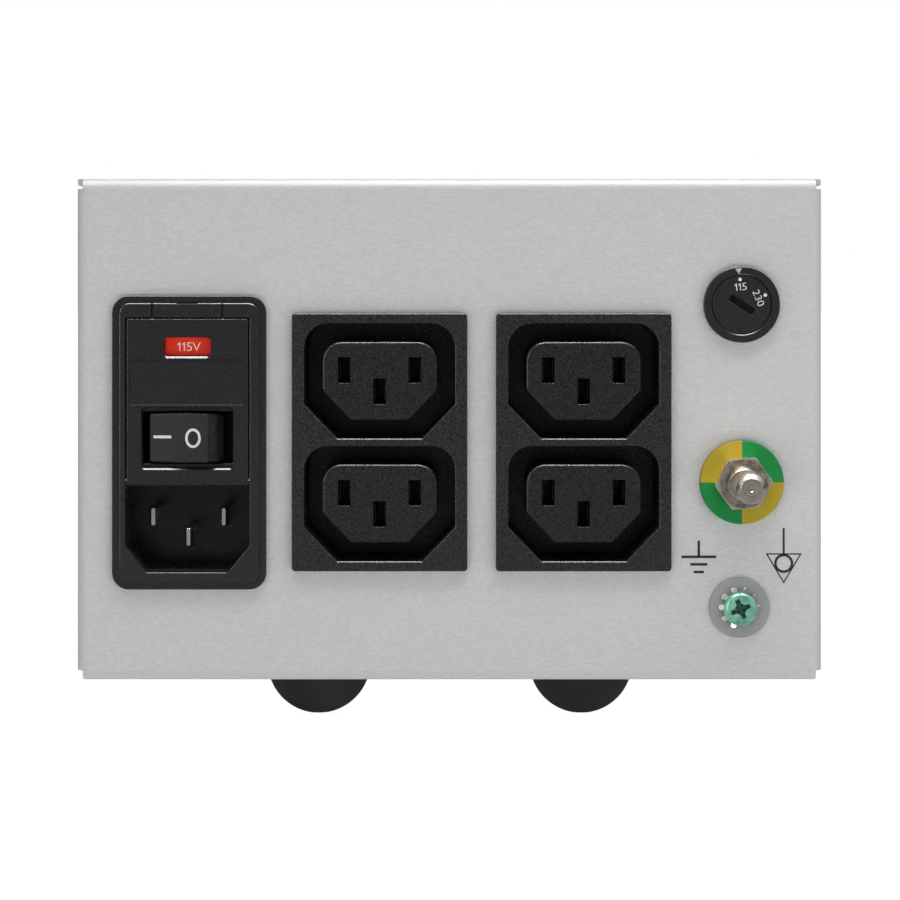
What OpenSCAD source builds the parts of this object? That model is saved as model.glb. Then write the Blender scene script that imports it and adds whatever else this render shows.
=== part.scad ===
// Isolation transformer in a sheet steel case, with an entry module and four outlets on its front panel.
// Millimetres. X runs to the right as seen from the front, Y into the case and Z up.
// The origin is in the middle of the footprint, on the surface that the feet stand on.

/* [Case] */
// Width of the case across its side flanges
shell_w = 148; // [146:0.5:180]
// Height of the outer shell, without the feet
shell_h = 99.6; // [96:0.2:130]
// Depth of the case from front panel to rear panel
shell_d = 210; // [204:1:280]
// Thickness of the sheet steel
sheet_t = 1.2; // [0.8:0.1:1.5]
// Outside radius of the bends in the sheet
bend_r = 2.4; // [1.8:0.1:3]
// Depth of the flanges that the case screws go through
flange_w = 14; // [11:0.5:18]
// Width of the inward flanges along the top of the tray
tray_flange_w = 12; // [6:0.5:20]
// Height of the relief notch at each end of an upright bend
relief_h = 2; // [1.6:0.1:4]
// Distance that the level bends stop short of the sides
relief_w = 1.2; // [0.6:0.1:2]
// Height of the lower side screws above the panel's lower edge
side_screw_low = 20; // [8:1:35]
// Height of the upper side screws above the panel's lower edge
side_screw_high = 78; // [60:1:86]
// Distance of the bottom screws from the middle
bottom_screw_x = 50; // [42:1:64]

/* [Case screws] */
// Shank diameter of the case screws
screw_d = 3; // [2.5:0.5:3]
// Head diameter of the case screws
screw_head_d = 5.5; // [5:0.1:6]
// Height of the countersunk head
screw_head_h = 1.2; // [1:0.1:1.6]
// Length of the case screws over all
screw_len = 6.5; // [5:0.5:10]
// Width of the arms of the cross recess
recess_w = 0.6; // [0.4:0.1:0.9]
// Length of the arms of the cross recess
recess_len = 3; // [2:0.1:3.6]
// Depth of the cross recess
recess_depth = 0.8; // [0.4:0.1:1]
// Diameter of the clinch nuts
clinch_d = 6.4; // [5:0.1:8]
// Height of the clinch nuts
clinch_h = 1.8; // [1:0.1:2.4]

/* [Feet] */
// Diameter of the domed rubber feet
foot_d = 21.4; // [18:0.2:26]
// Diameter of the flat that a foot stands on
foot_flat_d = 5; // [3:0.5:10]
// Height of a foot from the floor to the tray
foot_h = 11.3; // [11:0.1:16]
// Distance of the feet from the middle of the case
foot_x = 27.15; // [20:0.5:55]
// Distance of the feet from the front and rear panels
foot_inset = 28; // [26:1:45]

/* [Entry module] */
// Place of the entry module's middle across the panel
module_x = -51.5; // [-54:0.5:-50]
// Height of the entry module's middle above the panel's lower edge
module_up = 47.3; // [40:0.1:60]
// Width of the bezel
bezel_w = 30.5; // [30:0.1:33]
// Height of the bezel
bezel_h = 58.1; // [58:0.1:62]
// Corner radius of the bezel
bezel_r = 3.3; // [1.5:0.1:5]
// Distance that the bezel stands off the panel
bezel_t = 2.5; // [2.4:0.1:4]
// Height of the outer step of the bezel
bezel_step_t = 1.6; // [0.8:0.1:2.2]
// Width of the outer step of the bezel
bezel_step_w = 1.4; // [0.6:0.1:1.5]
// Width of the housing behind the panel
housing_w = 27; // [26.6:0.1:27.4]
// Height of the housing behind the panel
housing_h = 54.6; // [54.2:0.1:55.2]
// Corner radius of the housing behind the panel
housing_r = 1; // [0.4:0.1:2]
// Depth of the housing behind the panel
housing_d = 34; // [33:0.5:40]
// Sideways offset of the inlet and door in the bezel
core_x = -0.3; // [-0.4:0.1:0.4]
// Width of the inlet opening and of the door pocket
inlet_w = 24.6; // [24:0.1:25]
// Height of the inlet's middle above the module's middle
inlet_up = -17.1; // [-17.3:0.1:-17]
// Height of the inlet opening
inlet_h = 17; // [16:0.1:17.4]
// Width of the inlet's lower corner cuts
inlet_cut_w = 4.3; // [3:0.1:6]
// Height of the inlet's lower corner cuts
inlet_cut_h = 5.3; // [3:0.1:7]
// Corner radius at the top of the inlet opening
inlet_r = 0.8; // [0.3:0.1:1.5]
// Depth of the inlet behind the panel
inlet_depth = 14.5; // [13:0.5:17]
// Distance between the line pins of the inlet
pin_pitch = 14; // [13:0.1:15]
// Drop of the earth pin below the line pins
pin_drop = 4; // [3:0.1:5]
// Distance of the line pins below the top of the inlet
pin_down = 6.2; // [5:0.1:8]
// Thickness of an inlet pin
blade_t = 2; // [1.5:0.1:2.4]
// Height of an inlet pin
blade_h = 4; // [3.5:0.1:4.6]
// Distance of the pin tips behind the panel
blade_set_back = 0.5; // [0:0.1:3]
// Thickness of the terminal tabs
tab_t = 0.8; // [0.5:0.1:1]
// Width of the terminal tabs
tab_w = 4.8; // [3:0.1:5]
// Length of the terminal tabs
tab_len = 9; // [6:0.5:12]
// Width of the latch tab above the door
latch_w = 13.9; // [8:0.1:18]
// Height of the latch tab above the door
latch_h = 2.9; // [2:0.1:3]
// Width of the slits beside the latch tab
slit_w = 0.35; // [0.2:0.05:0.6]
// Depth of the slits beside the latch tab
slit_depth = 1.2; // [0.5:0.1:1.6]
// Width of the screwdriver slot above the latch tab
pry_w = 4.2; // [2:0.1:6]
// Length of the snap lugs behind the panel
lug_len = 6; // [3:0.5:8]
// Height of the snap lugs above the housing
lug_h = 1; // [0.6:0.1:1.2]

/* [Door and fuse drawer] */
// Height of the door
door_h = 33.2; // [32:0.1:33.3]
// Thickness of the door
door_t = 1.8; // [1.4:0.1:2]
// Distance of the door's face below the bezel's face
door_set_back = 0.2; // [0.1:0.1:0.4]
// Diameter of the door's hinge trunnions
trunnion_d = 1.2; // [0.8:0.1:1.4]
// Length of the door's hinge trunnions
trunnion_len = 0.9; // [0.5:0.1:1]
// Width of the window in the door
window_w = 9.25; // [7:0.1:11]
// Height of the window in the door
window_h = 3.75; // [3:0.1:5]
// Corner radius of the window
window_r = 0.8; // [0.3:0.1:1.4]
// Height of the window above the module's middle
window_up = 19; // [15.5:0.1:20]
// Width of the recessed label field
label_w = 22.7; // [18:0.1:23]
// Height of the recessed label field
label_h = 8.85; // [6:0.1:9]
// Depth of the recessed label field
label_depth = 0.2; // [0.1:0.05:0.4]
// Height of the label field above the module's middle
label_up = 12; // [11.8:0.1:12.2]
// Width of the fuse drawer
drawer_w = 22; // [21.8:0.1:22.4]
// Height of the fuse drawer
drawer_h = 14.9; // [12:0.1:15]
// Length of the fuse drawer
drawer_len = 31; // [28:0.5:32]
// Height of the drawer's middle above the module's middle
drawer_up = 16.35; // [16.3:0.05:16.5]
// Length of a fuse
fuse_len = 20; // [18:0.5:20]
// Diameter of a fuse over its end caps
fuse_d = 5.2; // [4.5:0.1:5.5]
// Length of a fuse's end caps
cap_len = 5; // [3:0.1:7]
// Thickness of a fuse's end caps
cap_t = 0.2; // [0.1:0.05:0.4]
// Distance of the first fuse behind the drawer's front
fuse_first = 11; // [6:0.5:12]
// Distance from one fuse to the next
fuse_pitch = 9; // [7:0.5:11]
// Thickness of the voltage flag behind the window
flag_t = 1.5; // [0.8:0.1:3]

/* [Rocker switch] */
// Width of the opening around the rocker
switch_w = 17.9; // [17.8:0.1:18.6]
// Height of the opening around the rocker
switch_h = 12; // [11:0.1:12.4]
// Height of the rocker's middle above the module's middle
switch_up = 1; // [0.9:0.1:1.1]
// Corner radius of the opening around the rocker
switch_r = 0.6; // [0.3:0.1:1.2]
// Wall of the switch body beside the rocker's well
switch_wall = 1.5; // [1.2:0.1:1.6]
// Wall of the switch body at the ends of the rocker's well
switch_end_wall = 0.8; // [0.5:0.1:0.9]
// Depth of the switch body behind the panel
switch_d = 32; // [26:0.5:33]
// Depth of the well under the rocker
well_depth = 13; // [11:0.5:16]
// Height of the rocker, along its hinge axis
rocker_h = 9.9; // [8:0.1:10.4]
// Width of the rocker's flat face
rocker_face_w = 11.8; // [10:0.1:12.4]
// Distance of the rocker's face from its hinge axis
rocker_reach = 7.7; // [7:0.1:8.2]
// Width of the sloping facet at each end of the rocker
facet_w = 2.2; // [1:0.1:2.3]
// Drop of the sloping facet at each end of the rocker
facet_drop = 4.9; // [3:0.1:6]
// Distance that the rocker reaches behind its hinge axis
rocker_root = 1.5; // [1.5:0.1:3]
// Narrowing of the rocker towards its root
rocker_taper = 1.6; // [0.5:0.1:3]
// Tilt of the rocker away from its middle position
rocker_tilt = 12; // [6:1:13]
// Distance of the hinge axis behind the panel
rocker_axis_back = 5; // [4.6:0.1:6]
// Diameter of the rocker's pivots
pivot_d = 2.4; // [1.6:0.1:2.8]
// Length of the rocker's pivots
pivot_len = 1.3; // [0.8:0.1:1.4]

/* [Outlets] */
// Places of the outlet blocks' middles across the panel
block_left_x = -13.8; // [-14.5:0.1:-12]
// Place of the right outlet block's middle across the panel
block_right_x = 26.6; // [25:0.1:28]
// Height of the outlet blocks' middles above the panel's lower edge
block_up = 47.4; // [40:0.1:60]
// Width of an outlet block's face
block_w = 34.75; // [34.4:0.05:36]
// Height of an outlet block's face
block_h = 51; // [50.5:0.1:54]
// Corner radius of an outlet block's face
block_r = 0.7; // [0.3:0.1:1.4]
// Thickness of an outlet block's face
block_t = 2; // [1.2:0.1:3]
// Width of an outlet block behind the panel
block_body_w = 31.6; // [31.2:0.1:32.4]
// Height of an outlet block behind the panel
block_body_h = 48.2; // [48:0.1:49]
// Depth of an outlet block behind the panel
block_d = 18; // [17:0.5:22]
// Distance from one outlet to the next
outlet_pitch = 24.3; // [24:0.1:24.6]
// Width of an outlet's recess
outlet_w = 29.8; // [29:0.1:30]
// Height of an outlet's recess
outlet_h = 22.8; // [22:0.1:23]
// Radius of the recess's upper corners
outlet_r = 4.7; // [2:0.1:6]
// Width of the recess's lower corner cuts
outlet_cut_w = 6.5; // [5:0.1:8]
// Height of the recess's lower corner cuts
outlet_cut_h = 6.75; // [5:0.1:8]
// Width of an outlet's core
outlet_core_w = 22.8; // [22:0.1:24]
// Height of an outlet's core
outlet_core_h = 15.5; // [15:0.1:16.4]
// Radius of the core's upper corners
outlet_core_r = 3.7; // [2:0.1:5]
// Width of the core's lower corner cuts
outlet_core_cut_w = 5.6; // [4:0.1:6.5]
// Height of the core's lower corner cuts
outlet_core_cut_h = 5.9; // [4:0.1:7]
// Distance of the core's face below the block's face
outlet_core_set_back = 1; // [0:0.1:3]
// Thickness of the core's flange, which closes the recess at the back
outlet_flange_t = 2; // [1:0.1:3]
// Rim of the core that lies on the back of the block
outlet_core_rim = 0.6; // [0.3:0.1:0.6]
// Thickness of the rim on the back of the block
outlet_core_rim_t = 2; // [1:0.1:3]
// Width of a contact slot
slot_w = 2.5; // [2.4:0.1:2.9]
// Height of a contact slot
slot_h = 5.1; // [4.9:0.1:5.4]
// Distance between the line slots of an outlet
slot_pitch = 14; // [13:0.1:14.4]
// Drop of the earth slot below the line slots
slot_drop = 4.2; // [3.6:0.1:4.6]
// Depth of the contact slots below the core's face
slot_depth = 14; // [12:0.5:15]
// Thickness of the contact springs
leaf_t = 0.35; // [0.2:0.05:0.5]
// Length of the contact springs
leaf_len = 10; // [6:0.5:12]
// Width of the contact springs
leaf_w = 4; // [3:0.1:4.6]

/* [Voltage selector] */
// Place of the voltage selector across the panel
selector_x = 57.9; // [56.5:0.1:59]
// Height of the voltage selector above the panel's lower edge
selector_up = 74.65; // [70:0.05:82]
// Diameter of the selector's collar
collar_d = 15.1; // [14:0.1:17]
// Distance that the collar stands off the panel
collar_t = 1.8; // [1.5:0.1:3]
// Diameter of the selector's threaded barrel
barrel_d = 12; // [11:0.1:12.6]
// Depth of the barrel behind the panel
barrel_len = 20; // [16:0.5:24]
// Diameter of the dial
dial_d = 11.6; // [10:0.1:12]
// Thickness of the dial
dial_t = 1.1; // [0.9:0.1:1.3]
// Distance of the dial's face below the collar's face
dial_set_back = 0.2; // [0.1:0.05:0.4]
// Diameter of the dial's shaft
shaft_d = 4; // [3:0.1:5]
// Length of the dial's shaft
shaft_len = 13; // [8:0.5:15]
// Length of the screwdriver slot in the dial
driver_slot_len = 5.4; // [4:0.1:8]
// Width of the screwdriver slot in the dial
driver_slot_w = 1.4; // [0.8:0.1:1.8]
// Depth of the screwdriver slot in the dial
driver_slot_depth = 0.8; // [0.4:0.1:1]
// Angle of the screwdriver slot, clockwise from level
driver_slot_angle = 33.7; // [0:0.1:90]
// Width of the nut behind the panel across its flats
collar_nut_af = 16; // [15:0.5:18]
// Thickness of the nut behind the panel
collar_nut_t = 3.5; // [2:0.5:5]

/* [Potential pin] */
// Place of the potential pin across the panel
potential_x = 57.9; // [56.5:0.1:59]
// Height of the potential pin above the panel's lower edge
potential_up = 39.5; // [36:0.1:44]
// Diameter of the pin that the socket goes over
potential_d = 6; // [5:0.1:6]
// Distance that the pin reaches out from the panel
potential_len = 22; // [18:0.5:26]
// Length of the pin's stud behind the panel
stud_len = 14; // [12:0.5:18]
// Diameter of the coloured disc under the pin
disc_d = 16.6; // [14:0.1:18]
// Thickness of the coloured disc under the pin
disc_t = 2; // [1:0.1:3]
// Width of the pin's hexagon across its flats
hex_af = 9.8; // [8:0.1:11]
// Height of the pin's hexagon
hex_h = 4.5; // [3:0.1:6]
// Chamfer on the pin's hexagon
hex_chamfer = 0.5; // [0.2:0.1:0.8]
// Turn of the pin's hexagon
hex_turn = 5; // [0:1:60]
// Diameter of the groove near the pin's foot
groove_d = 5.2; // [4:0.1:5.4]
// Width of the groove near the pin's foot
groove_w = 1.5; // [0.8:0.1:3]
// Distance of the groove from the hexagon
groove_up = 1; // [0.5:0.1:2]
// Length of the chamfer at the pin's tip
tip_len = 1.2; // [0.5:0.1:2]
// Chamfer's cut into the radius at the pin's tip
tip_cut = 0.8; // [0.3:0.1:1.5]

/* [Earth screw] */
// Place of the earth screw across the panel
earth_x = 57.5; // [56.5:0.1:59]
// Height of the earth screw above the panel's lower edge
earth_up = 14.6; // [12:0.1:19]
// Diameter of the flat washer on the panel
earth_disc_d = 12; // [10:0.1:14]
// Thickness of the flat washer on the panel
earth_disc_t = 0.7; // [0.4:0.1:1.2]
// Diameter of the toothed washer over its teeth
star_d = 8.4; // [8:0.1:9.4]
// Thickness of the toothed washer
star_t = 0.5; // [0.4:0.05:0.7]
// Radial length of the washer's teeth
tooth_len = 1.1; // [0.8:0.1:1.4]
// Width of the washer's teeth
tooth_w = 1.3; // [0.9:0.1:1.5]
// Twist of the washer's teeth
tooth_twist = 25; // [15:1:35]
// Number of teeth on the washer
teeth = 10; // [8:1:12]
// Shank diameter of the earth screw
earth_d = 4; // [3:0.5:4]
// Head diameter of the earth screw
earth_head_d = 6.6; // [6:0.1:8]
// Height of the earth screw's head
earth_head_h = 2.2; // [1.6:0.1:3]
// Chamfer on the earth screw's head
earth_head_chamfer = 0.8; // [0.4:0.1:1.2]
// Length of the arms of the earth screw's cross recess
earth_recess_len = 4; // [3:0.1:4.6]
// Width of the arms of the earth screw's cross recess
earth_recess_w = 0.8; // [0.6:0.1:1.1]
// Depth of the earth screw's cross recess
earth_recess_depth = 1.3; // [0.8:0.1:1.6]
// Turn of the earth screw's cross recess
earth_turn = 22; // [0:1:90]
// Length of the earth screw's shank
earth_len = 12; // [11:0.5:18]

/* [Inner fasteners] */
// Thickness of the ring terminals and of the flat washer behind the panel
ring_t = 0.8; // [0.5:0.1:1.2]
// Outer diameter of the ring terminals
ring_d = 10; // [9:0.5:12]
// Diameter of the ring terminals' crimp barrels
crimp_d = 3.4; // [2.8:0.1:4]
// Length of the ring terminals' crimp barrels
crimp_len = 7; // [5:0.5:9]
// Width of the nut on the potential pin across its flats
potential_nut_af = 10; // [9:0.5:11]
// Thickness of the nut on the potential pin
potential_nut_t = 5; // [3:0.5:6]
// Width of the nut on the earth screw across its flats
earth_nut_af = 7; // [6.5:0.5:8]
// Thickness of the nut on the earth screw
earth_nut_t = 3.2; // [2:0.1:4]

/* [Transformer] */
// Outer diameter of the wound ring
ring_od = 120; // [100:1:124]
// Inner diameter of the wound ring, as a share of its outer diameter
ring_bore_share = 0.35; // [0.3:0.01:0.4]
// Height of the wound ring
winding_h = 58; // [40:1:62]
// Rounding of the winding's corners
winding_r = 8; // [5:0.5:12]
// Thickness of the winding round the core
winding_t = 6; // [4:0.5:9]
// Distance of the wound ring from the rear panel
ring_rear_gap = 16; // [10:1:24]
// Thickness of the pads above and below the winding
pad_t = 3; // [2:0.5:4]
// Width that the pads stop short of the winding's edge
pad_margin = 1; // [0.5:0.5:4]
// Diameter of the clamp washer
clamp_d = 96; // [80:1:98]
// Thickness of the clamp washer
clamp_t = 2; // [1.5:0.1:3]
// Diameter of the clamp washer's flat middle
clamp_flat_d = 24; // [20:0.5:26]
// Depth of the clamp washer's dish
clamp_dish = 8; // [5:0.5:10]
// Diameter of the centre bolt
bolt_d = 8; // [6:0.5:8]
// Width of the bolt's head and nut across their flats
bolt_af = 13; // [12:0.5:14]
// Height of the bolt's head
bolt_head_h = 5.3; // [4:0.1:6]
// Thickness of the nut on the centre bolt
bolt_nut_t = 6.5; // [5:0.5:8]
// Length of thread beyond the nut
bolt_spare = 3; // [1:0.5:6]
// Diameter of the thermal cut-out
cutout_d = 9; // [7:0.5:9]
// Height of the thermal cut-out
cutout_h = 3.5; // [2:0.5:5]

/* [Leads] */
// Diameter of the insulated leads
lead_d = 2.6; // [1.8:0.1:3]
// Reach of a lead's curve from each of its ends
lead_reach = 20; // [12:1:22]

/* [Fits] */
// Gap between two sheets that lie on each other
seam_gap = 0.1; // [0.05:0.05:0.2]
// Radial gap at a thread
thread_gap = 0.05; // [0.02:0.01:0.1]
// Radial gap at a running fit
running_gap = 0.06; // [0.02:0.01:0.1]
// Gap round a piece that sits in an opening
fit_gap = 0.1; // [0.05:0.05:0.2]
// Gap round a piece that slides or swings
slide_gap = 0.25; // [0.2:0.05:0.3]
// Gap behind the closed door
door_gap = 0.3; // [0.2:0.05:0.4]
// Gap between the end of a lead and what it meets
lead_gap = 0.3; // [0.1:0.1:0.5]

/* [Hidden] */
$fn = 64;
overrun = 1;

shell_z = foot_h - seam_gap - sheet_t;
shell_top = shell_z + shell_h;
panel_y = -(shell_d - potential_len) / 2;
tray_w = shell_w - 2 * (sheet_t + seam_gap);
tray_h = shell_top - sheet_t - seam_gap - foot_h;
tray_end = bend_r + seam_gap;
floor_z = foot_h + sheet_t;
relief_z = shell_z + relief_h;

door_face = bezel_t - door_set_back;
door_back = door_face - door_t;
door_low = inlet_up + inlet_h / 2;
door_axis_up = door_low + door_t / 2;
door_axis_out = door_face - door_t / 2;
door_w = inlet_w - 2 * slide_gap;
trunnion_end = inlet_w / 2 + trunnion_len;
pocket_top = door_low + door_h + slide_gap;
front_gap = door_back - door_gap;
rocker_well_h = rocker_h + 2 * slide_gap;
pivot_hole_end = rocker_well_h / 2 + pivot_len;
switch_body_w = switch_w + 2 * switch_end_wall;
switch_body_h = rocker_well_h + 2 * switch_wall;

core_face = block_t - outlet_core_set_back;
slot_floor = core_face - slot_depth;
core_back = -block_d - outlet_core_rim_t;
dial_face = collar_t - dial_set_back;
ring_id = ring_bore_share * ring_od;
ring_y = panel_y + shell_d - ring_rear_gap - ring_od / 2;
winding_low = floor_z + pad_t;
winding_top = winding_low + winding_h;
clamp_low = winding_top + pad_t;
clamp_mid_top = clamp_low + clamp_t - clamp_dish;

// Places children on the front panel, with Y up and Z out of the panel.
module at_panel(x, up) {
    translate([x, panel_y, shell_z + up]) rotate([90, 0, 0]) children();
}

module at_module() {
    at_panel(module_x, module_up) children();
}

// Rectangle with round corners, from squares and circles.
module round_rect(w, h, r) {
    square([w - 2 * r, h], center = true);
    square([w, h - 2 * r], center = true);
    for (x = [-1, 1], y = [-1, 1]) translate([x * (w / 2 - r), y * (h / 2 - r)]) circle(r);
}

module slab(w, h, r, low, high) {
    translate([0, 0, low]) linear_extrude(high - low) round_rect(w, h, r);
}

module ring_2d(w, h, r, t) {
    difference() {
        round_rect(w, h, r);
        round_rect(w - 2 * t, h - 2 * t, r - t);
    }
}

// Rectangle with round upper corners and cut lower corners.
module socket_2d(w, h, r, cut_w, cut_h) {
    polygon([[-w / 2, h / 2 - r], [-w / 2, cut_h - h / 2], [cut_w - w / 2, -h / 2],
        [w / 2 - cut_w, -h / 2], [w / 2, cut_h - h / 2], [w / 2, h / 2 - r]]);
    translate([r - w / 2, 0]) square([w - 2 * r, h / 2]);
    for (x = [-1, 1]) translate([x * (w / 2 - r), h / 2 - r]) circle(r);
}

module prism(low, high) {
    translate([0, 0, low]) linear_extrude(high - low) children();
}

module block(w, h, low, high) {
    prism(low, high) square([w, h], center = true);
}

module rod(d, low, high) {
    translate([0, 0, low]) cylinder(h = high - low, d = d);
}

module hexagon(af, low, high) {
    translate([0, 0, low]) cylinder(h = high - low, d = af / cos(30), $fn = 6);
}

module hex_nut(af, bore_d, low, high) {
    difference() {
        hexagon(af, low, high);
        rod(bore_d + 2 * thread_gap, low - overrun, high + overrun);
    }
}

module washer(d, bore_d, low, high) {
    difference() {
        rod(d, low, high);
        rod(bore_d, low - overrun, high + overrun);
    }
}

module cross_recess(len, w, depth, top) {
    for (turn = [0, 90]) rotate(turn) block(len, w, top - depth, top + overrun);
}

module along_x(len) {
    translate([-len / 2, 0, 0]) rotate([90, 0, 90]) linear_extrude(len) children();
}

// Holds one child at each case screw, with Z out of the case.
module at_case_screws() {
    for (side = [-1, 1], d = [flange_w / 2, shell_d - flange_w / 2]) {
        for (up = [side_screw_low, side_screw_high])
            translate([side * shell_w / 2, panel_y + d, shell_z + up]) rotate([0, side * 90, 0]) children();
        translate([side * bottom_screw_x, panel_y + d, shell_z]) rotate([180, 0, 0]) children();
    }
}

// Section of the shell from front to rear, open at the bottom between the flanges.
module shell_section() {
    difference() {
        translate([panel_y + shell_d / 2, shell_z + shell_h / 2]) ring_2d(shell_d, shell_h, bend_r, sheet_t);
        translate([panel_y + flange_w, shell_z - overrun])
            square([shell_d - 2 * flange_w, sheet_t + 2 * overrun]);
    }
}

// Plan of the four upright bends and their flanges.
module upright_bends() {
    edge = shell_w / 2 - bend_r;
    intersection() {
        translate([0, panel_y + shell_d / 2]) ring_2d(shell_w, shell_d, bend_r, sheet_t);
        for (side = [-1, 1], y = [panel_y, panel_y + shell_d - flange_w])
            translate([side * (edge + bend_r / 2) - bend_r / 2, y]) square([bend_r, flange_w]);
    }
}

module shell_blank() {
    bend_span = shell_w - 2 * relief_w;
    difference() {
        along_x(bend_span) shell_section();
        for (side = [-1, 1], y = [panel_y, panel_y + shell_d - sheet_t])
            translate([side * (shell_w / 2 - bend_r / 2) - bend_r / 2, y - overrun, relief_z])
                cube([bend_r, sheet_t + 2 * overrun, shell_h - 2 * relief_h]);
    }
    translate([0, 0, relief_z]) linear_extrude(shell_h - 2 * relief_h) upright_bends();
    translate([-shell_w / 2, panel_y + bend_r, shell_top - sheet_t])
        cube([shell_w, shell_d - 2 * bend_r, sheet_t]);
}

module panel_openings() {
    through = -sheet_t - overrun;
    at_module() slab(housing_w + 2 * fit_gap, housing_h + 2 * fit_gap, housing_r, through, overrun);
    for (x = [block_left_x, block_right_x])
        at_panel(x, block_up)
            slab(block_body_w + 2 * fit_gap, block_body_h + 2 * fit_gap, block_r, through, overrun);
    at_panel(selector_x, selector_up) rod(barrel_d + 2 * fit_gap, through, overrun);
    at_panel(potential_x, potential_up) rod(potential_d + 2 * fit_gap, through, overrun);
    at_panel(earth_x, earth_up) rod(earth_d + 2 * fit_gap, through, overrun);
}

module outer_shell() color("gainsboro") difference() {
    shell_blank();
    panel_openings();
    at_case_screws() {
        translate([0, 0, -screw_head_h - fit_gap])
            cylinder(h = screw_head_h + fit_gap, d1 = screw_d, d2 = screw_head_d + 2 * fit_gap);
        rod(screw_d + 2 * fit_gap, -sheet_t - overrun, overrun);
    }
}

module base_tray() color("lightgray") difference() {
    translate([0, panel_y + tray_end, 0]) rotate([90, 0, 180]) mirror([1, 0, 0])
        linear_extrude(shell_d - 2 * tray_end) difference() {
            translate([0, foot_h + tray_h / 2]) ring_2d(tray_w, tray_h, bend_r, sheet_t);
            translate([tray_flange_w - tray_w / 2, foot_h + tray_h - sheet_t - overrun])
                square([tray_w - 2 * tray_flange_w, sheet_t + 2 * overrun]);
        }
    at_case_screws() rod(screw_d + 2 * fit_gap, -2 * sheet_t - seam_gap - overrun, overrun);
    translate([0, ring_y, 0]) rod(bolt_d + 2 * fit_gap, foot_h - overrun, floor_z + overrun);
}

module case_screws() color("silver") at_case_screws() difference() {
    rotate_extrude() polygon([[0, 0], [screw_head_d / 2, 0], [screw_d / 2, -screw_head_h],
        [screw_d / 2, -screw_len], [0, -screw_len]]);
    cross_recess(recess_len, recess_w, recess_depth, 0);
}

module clinch_nuts() color("silver") at_case_screws() {
    seat = -2 * sheet_t - seam_gap;
    washer(clinch_d, screw_d + 2 * thread_gap, seat - clinch_h, seat);
}

module foot(front, side) {
    ball_z = sqrt(pow(foot_d / 2, 2) - pow(foot_flat_d / 2, 2));
    y = front > 0 ? panel_y + foot_inset : panel_y + shell_d - foot_inset;
    color([0.08, 0.08, 0.08]) translate([side * foot_x, y, 0]) rotate_extrude() {
        intersection() {
            translate([0, ball_z]) circle(d = foot_d);
            square([foot_d / 2, ball_z]);
        }
        translate([0, ball_z]) square([foot_d / 2, foot_h - ball_z]);
    }
}

// Outline of the door pocket and the inlet opening together.
module core_front_2d() {
    translate([0, inlet_up]) socket_2d(inlet_w, inlet_h, inlet_r, inlet_cut_w, inlet_cut_h);
    translate([-inlet_w / 2, door_low - inlet_r]) square([inlet_w, pocket_top - door_low + inlet_r]);
}

module at_inlet_pins() {
    line_up = door_low - pin_down;
    for (x = [-1, 1]) translate([x * pin_pitch / 2, line_up, 0]) children();
    translate([0, line_up - pin_drop, 0]) children();
}

module at_core() {
    at_module() translate([core_x, 0, 0]) children();
}

// Hinge axis of the door, in the core's frame and with Z along it.
module at_door_axis() {
    translate([0, door_axis_up, door_axis_out]) rotate([0, 90, 0]) children();
}

module snap_lugs(w, h) {
    for (side = [-1, 1], end = [-1, 1])
        translate([side * w / 2, end * h / 4 + lug_len / 2, -sheet_t - fit_gap]) rotate([90, 0, 0])
            linear_extrude(lug_len) polygon([[-side * fit_gap, 0], [side * lug_h, 0],
                [0, -2 * lug_h], [-side * fit_gap, -2 * lug_h]]);
}

module inlet_housing() color([0.1, 0.1, 0.11]) difference() {
    at_module() {
        slab(bezel_w, bezel_h, bezel_r, 0, bezel_step_t);
        slab(bezel_w - 2 * bezel_step_w, bezel_h - 2 * bezel_step_w, bezel_r - bezel_step_w, 0, bezel_t);
        slab(housing_w, housing_h, housing_r, -housing_d, 0);
        snap_lugs(housing_w, housing_h);
    }
    at_core() {
        prism(front_gap, bezel_t + overrun) core_front_2d();
        prism(-inlet_depth, bezel_t) translate([0, inlet_up])
            socket_2d(inlet_w, inlet_h, inlet_r, inlet_cut_w, inlet_cut_h);
        at_inlet_pins() block(blade_t, blade_h, -housing_d - overrun, 0);
        translate([0, drawer_up, 0]) block(drawer_w + 2 * slide_gap, drawer_h + 2 * slide_gap,
            front_gap - drawer_len - slide_gap, bezel_t);
        translate([0, switch_up, 0]) block(switch_body_w + 2 * fit_gap, switch_body_h + 2 * fit_gap,
            -housing_d - overrun, bezel_t);
        for (side = [-1, 1])
            translate([side * latch_w / 2, pocket_top + latch_h / 2, 0])
                block(slit_w, latch_h + overrun, bezel_t - slit_depth, bezel_t + overrun);
        translate([0, pocket_top + latch_h, 0])
            block(pry_w, slit_w, bezel_t - slit_depth, bezel_t + overrun);
        at_door_axis() rod(trunnion_d + 2 * running_gap, -trunnion_end, trunnion_end);
    }
}

module inlet_pins() color("silver") at_core() at_inlet_pins() {
    block(blade_t, blade_h, -housing_d, -blade_set_back);
    block(tab_t, blade_h, -housing_d - tab_len, -housing_d);
}

module fuse_door() color([0.12, 0.12, 0.13]) at_core() difference() {
    union() {
        translate([-door_w / 2, door_axis_up, door_back])
            cube([door_w, door_low + door_h - door_axis_up, door_t]);
        at_door_axis() rod(door_t, -door_w / 2, door_w / 2);
        at_door_axis() rod(trunnion_d, -trunnion_end + slide_gap, trunnion_end - slide_gap);
    }
    translate([0, switch_up, 0]) slab(switch_w, switch_h, switch_r, door_back - overrun, door_face + overrun);
    translate([0, window_up, 0]) slab(window_w, window_h, window_r, door_back - overrun, door_face + overrun);
    translate([0, label_up, 0]) block(label_w, label_h, door_face - label_depth, door_face + overrun);
}

module at_drawer() {
    at_core() translate([0, drawer_up, front_gap]) children();
}

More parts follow.
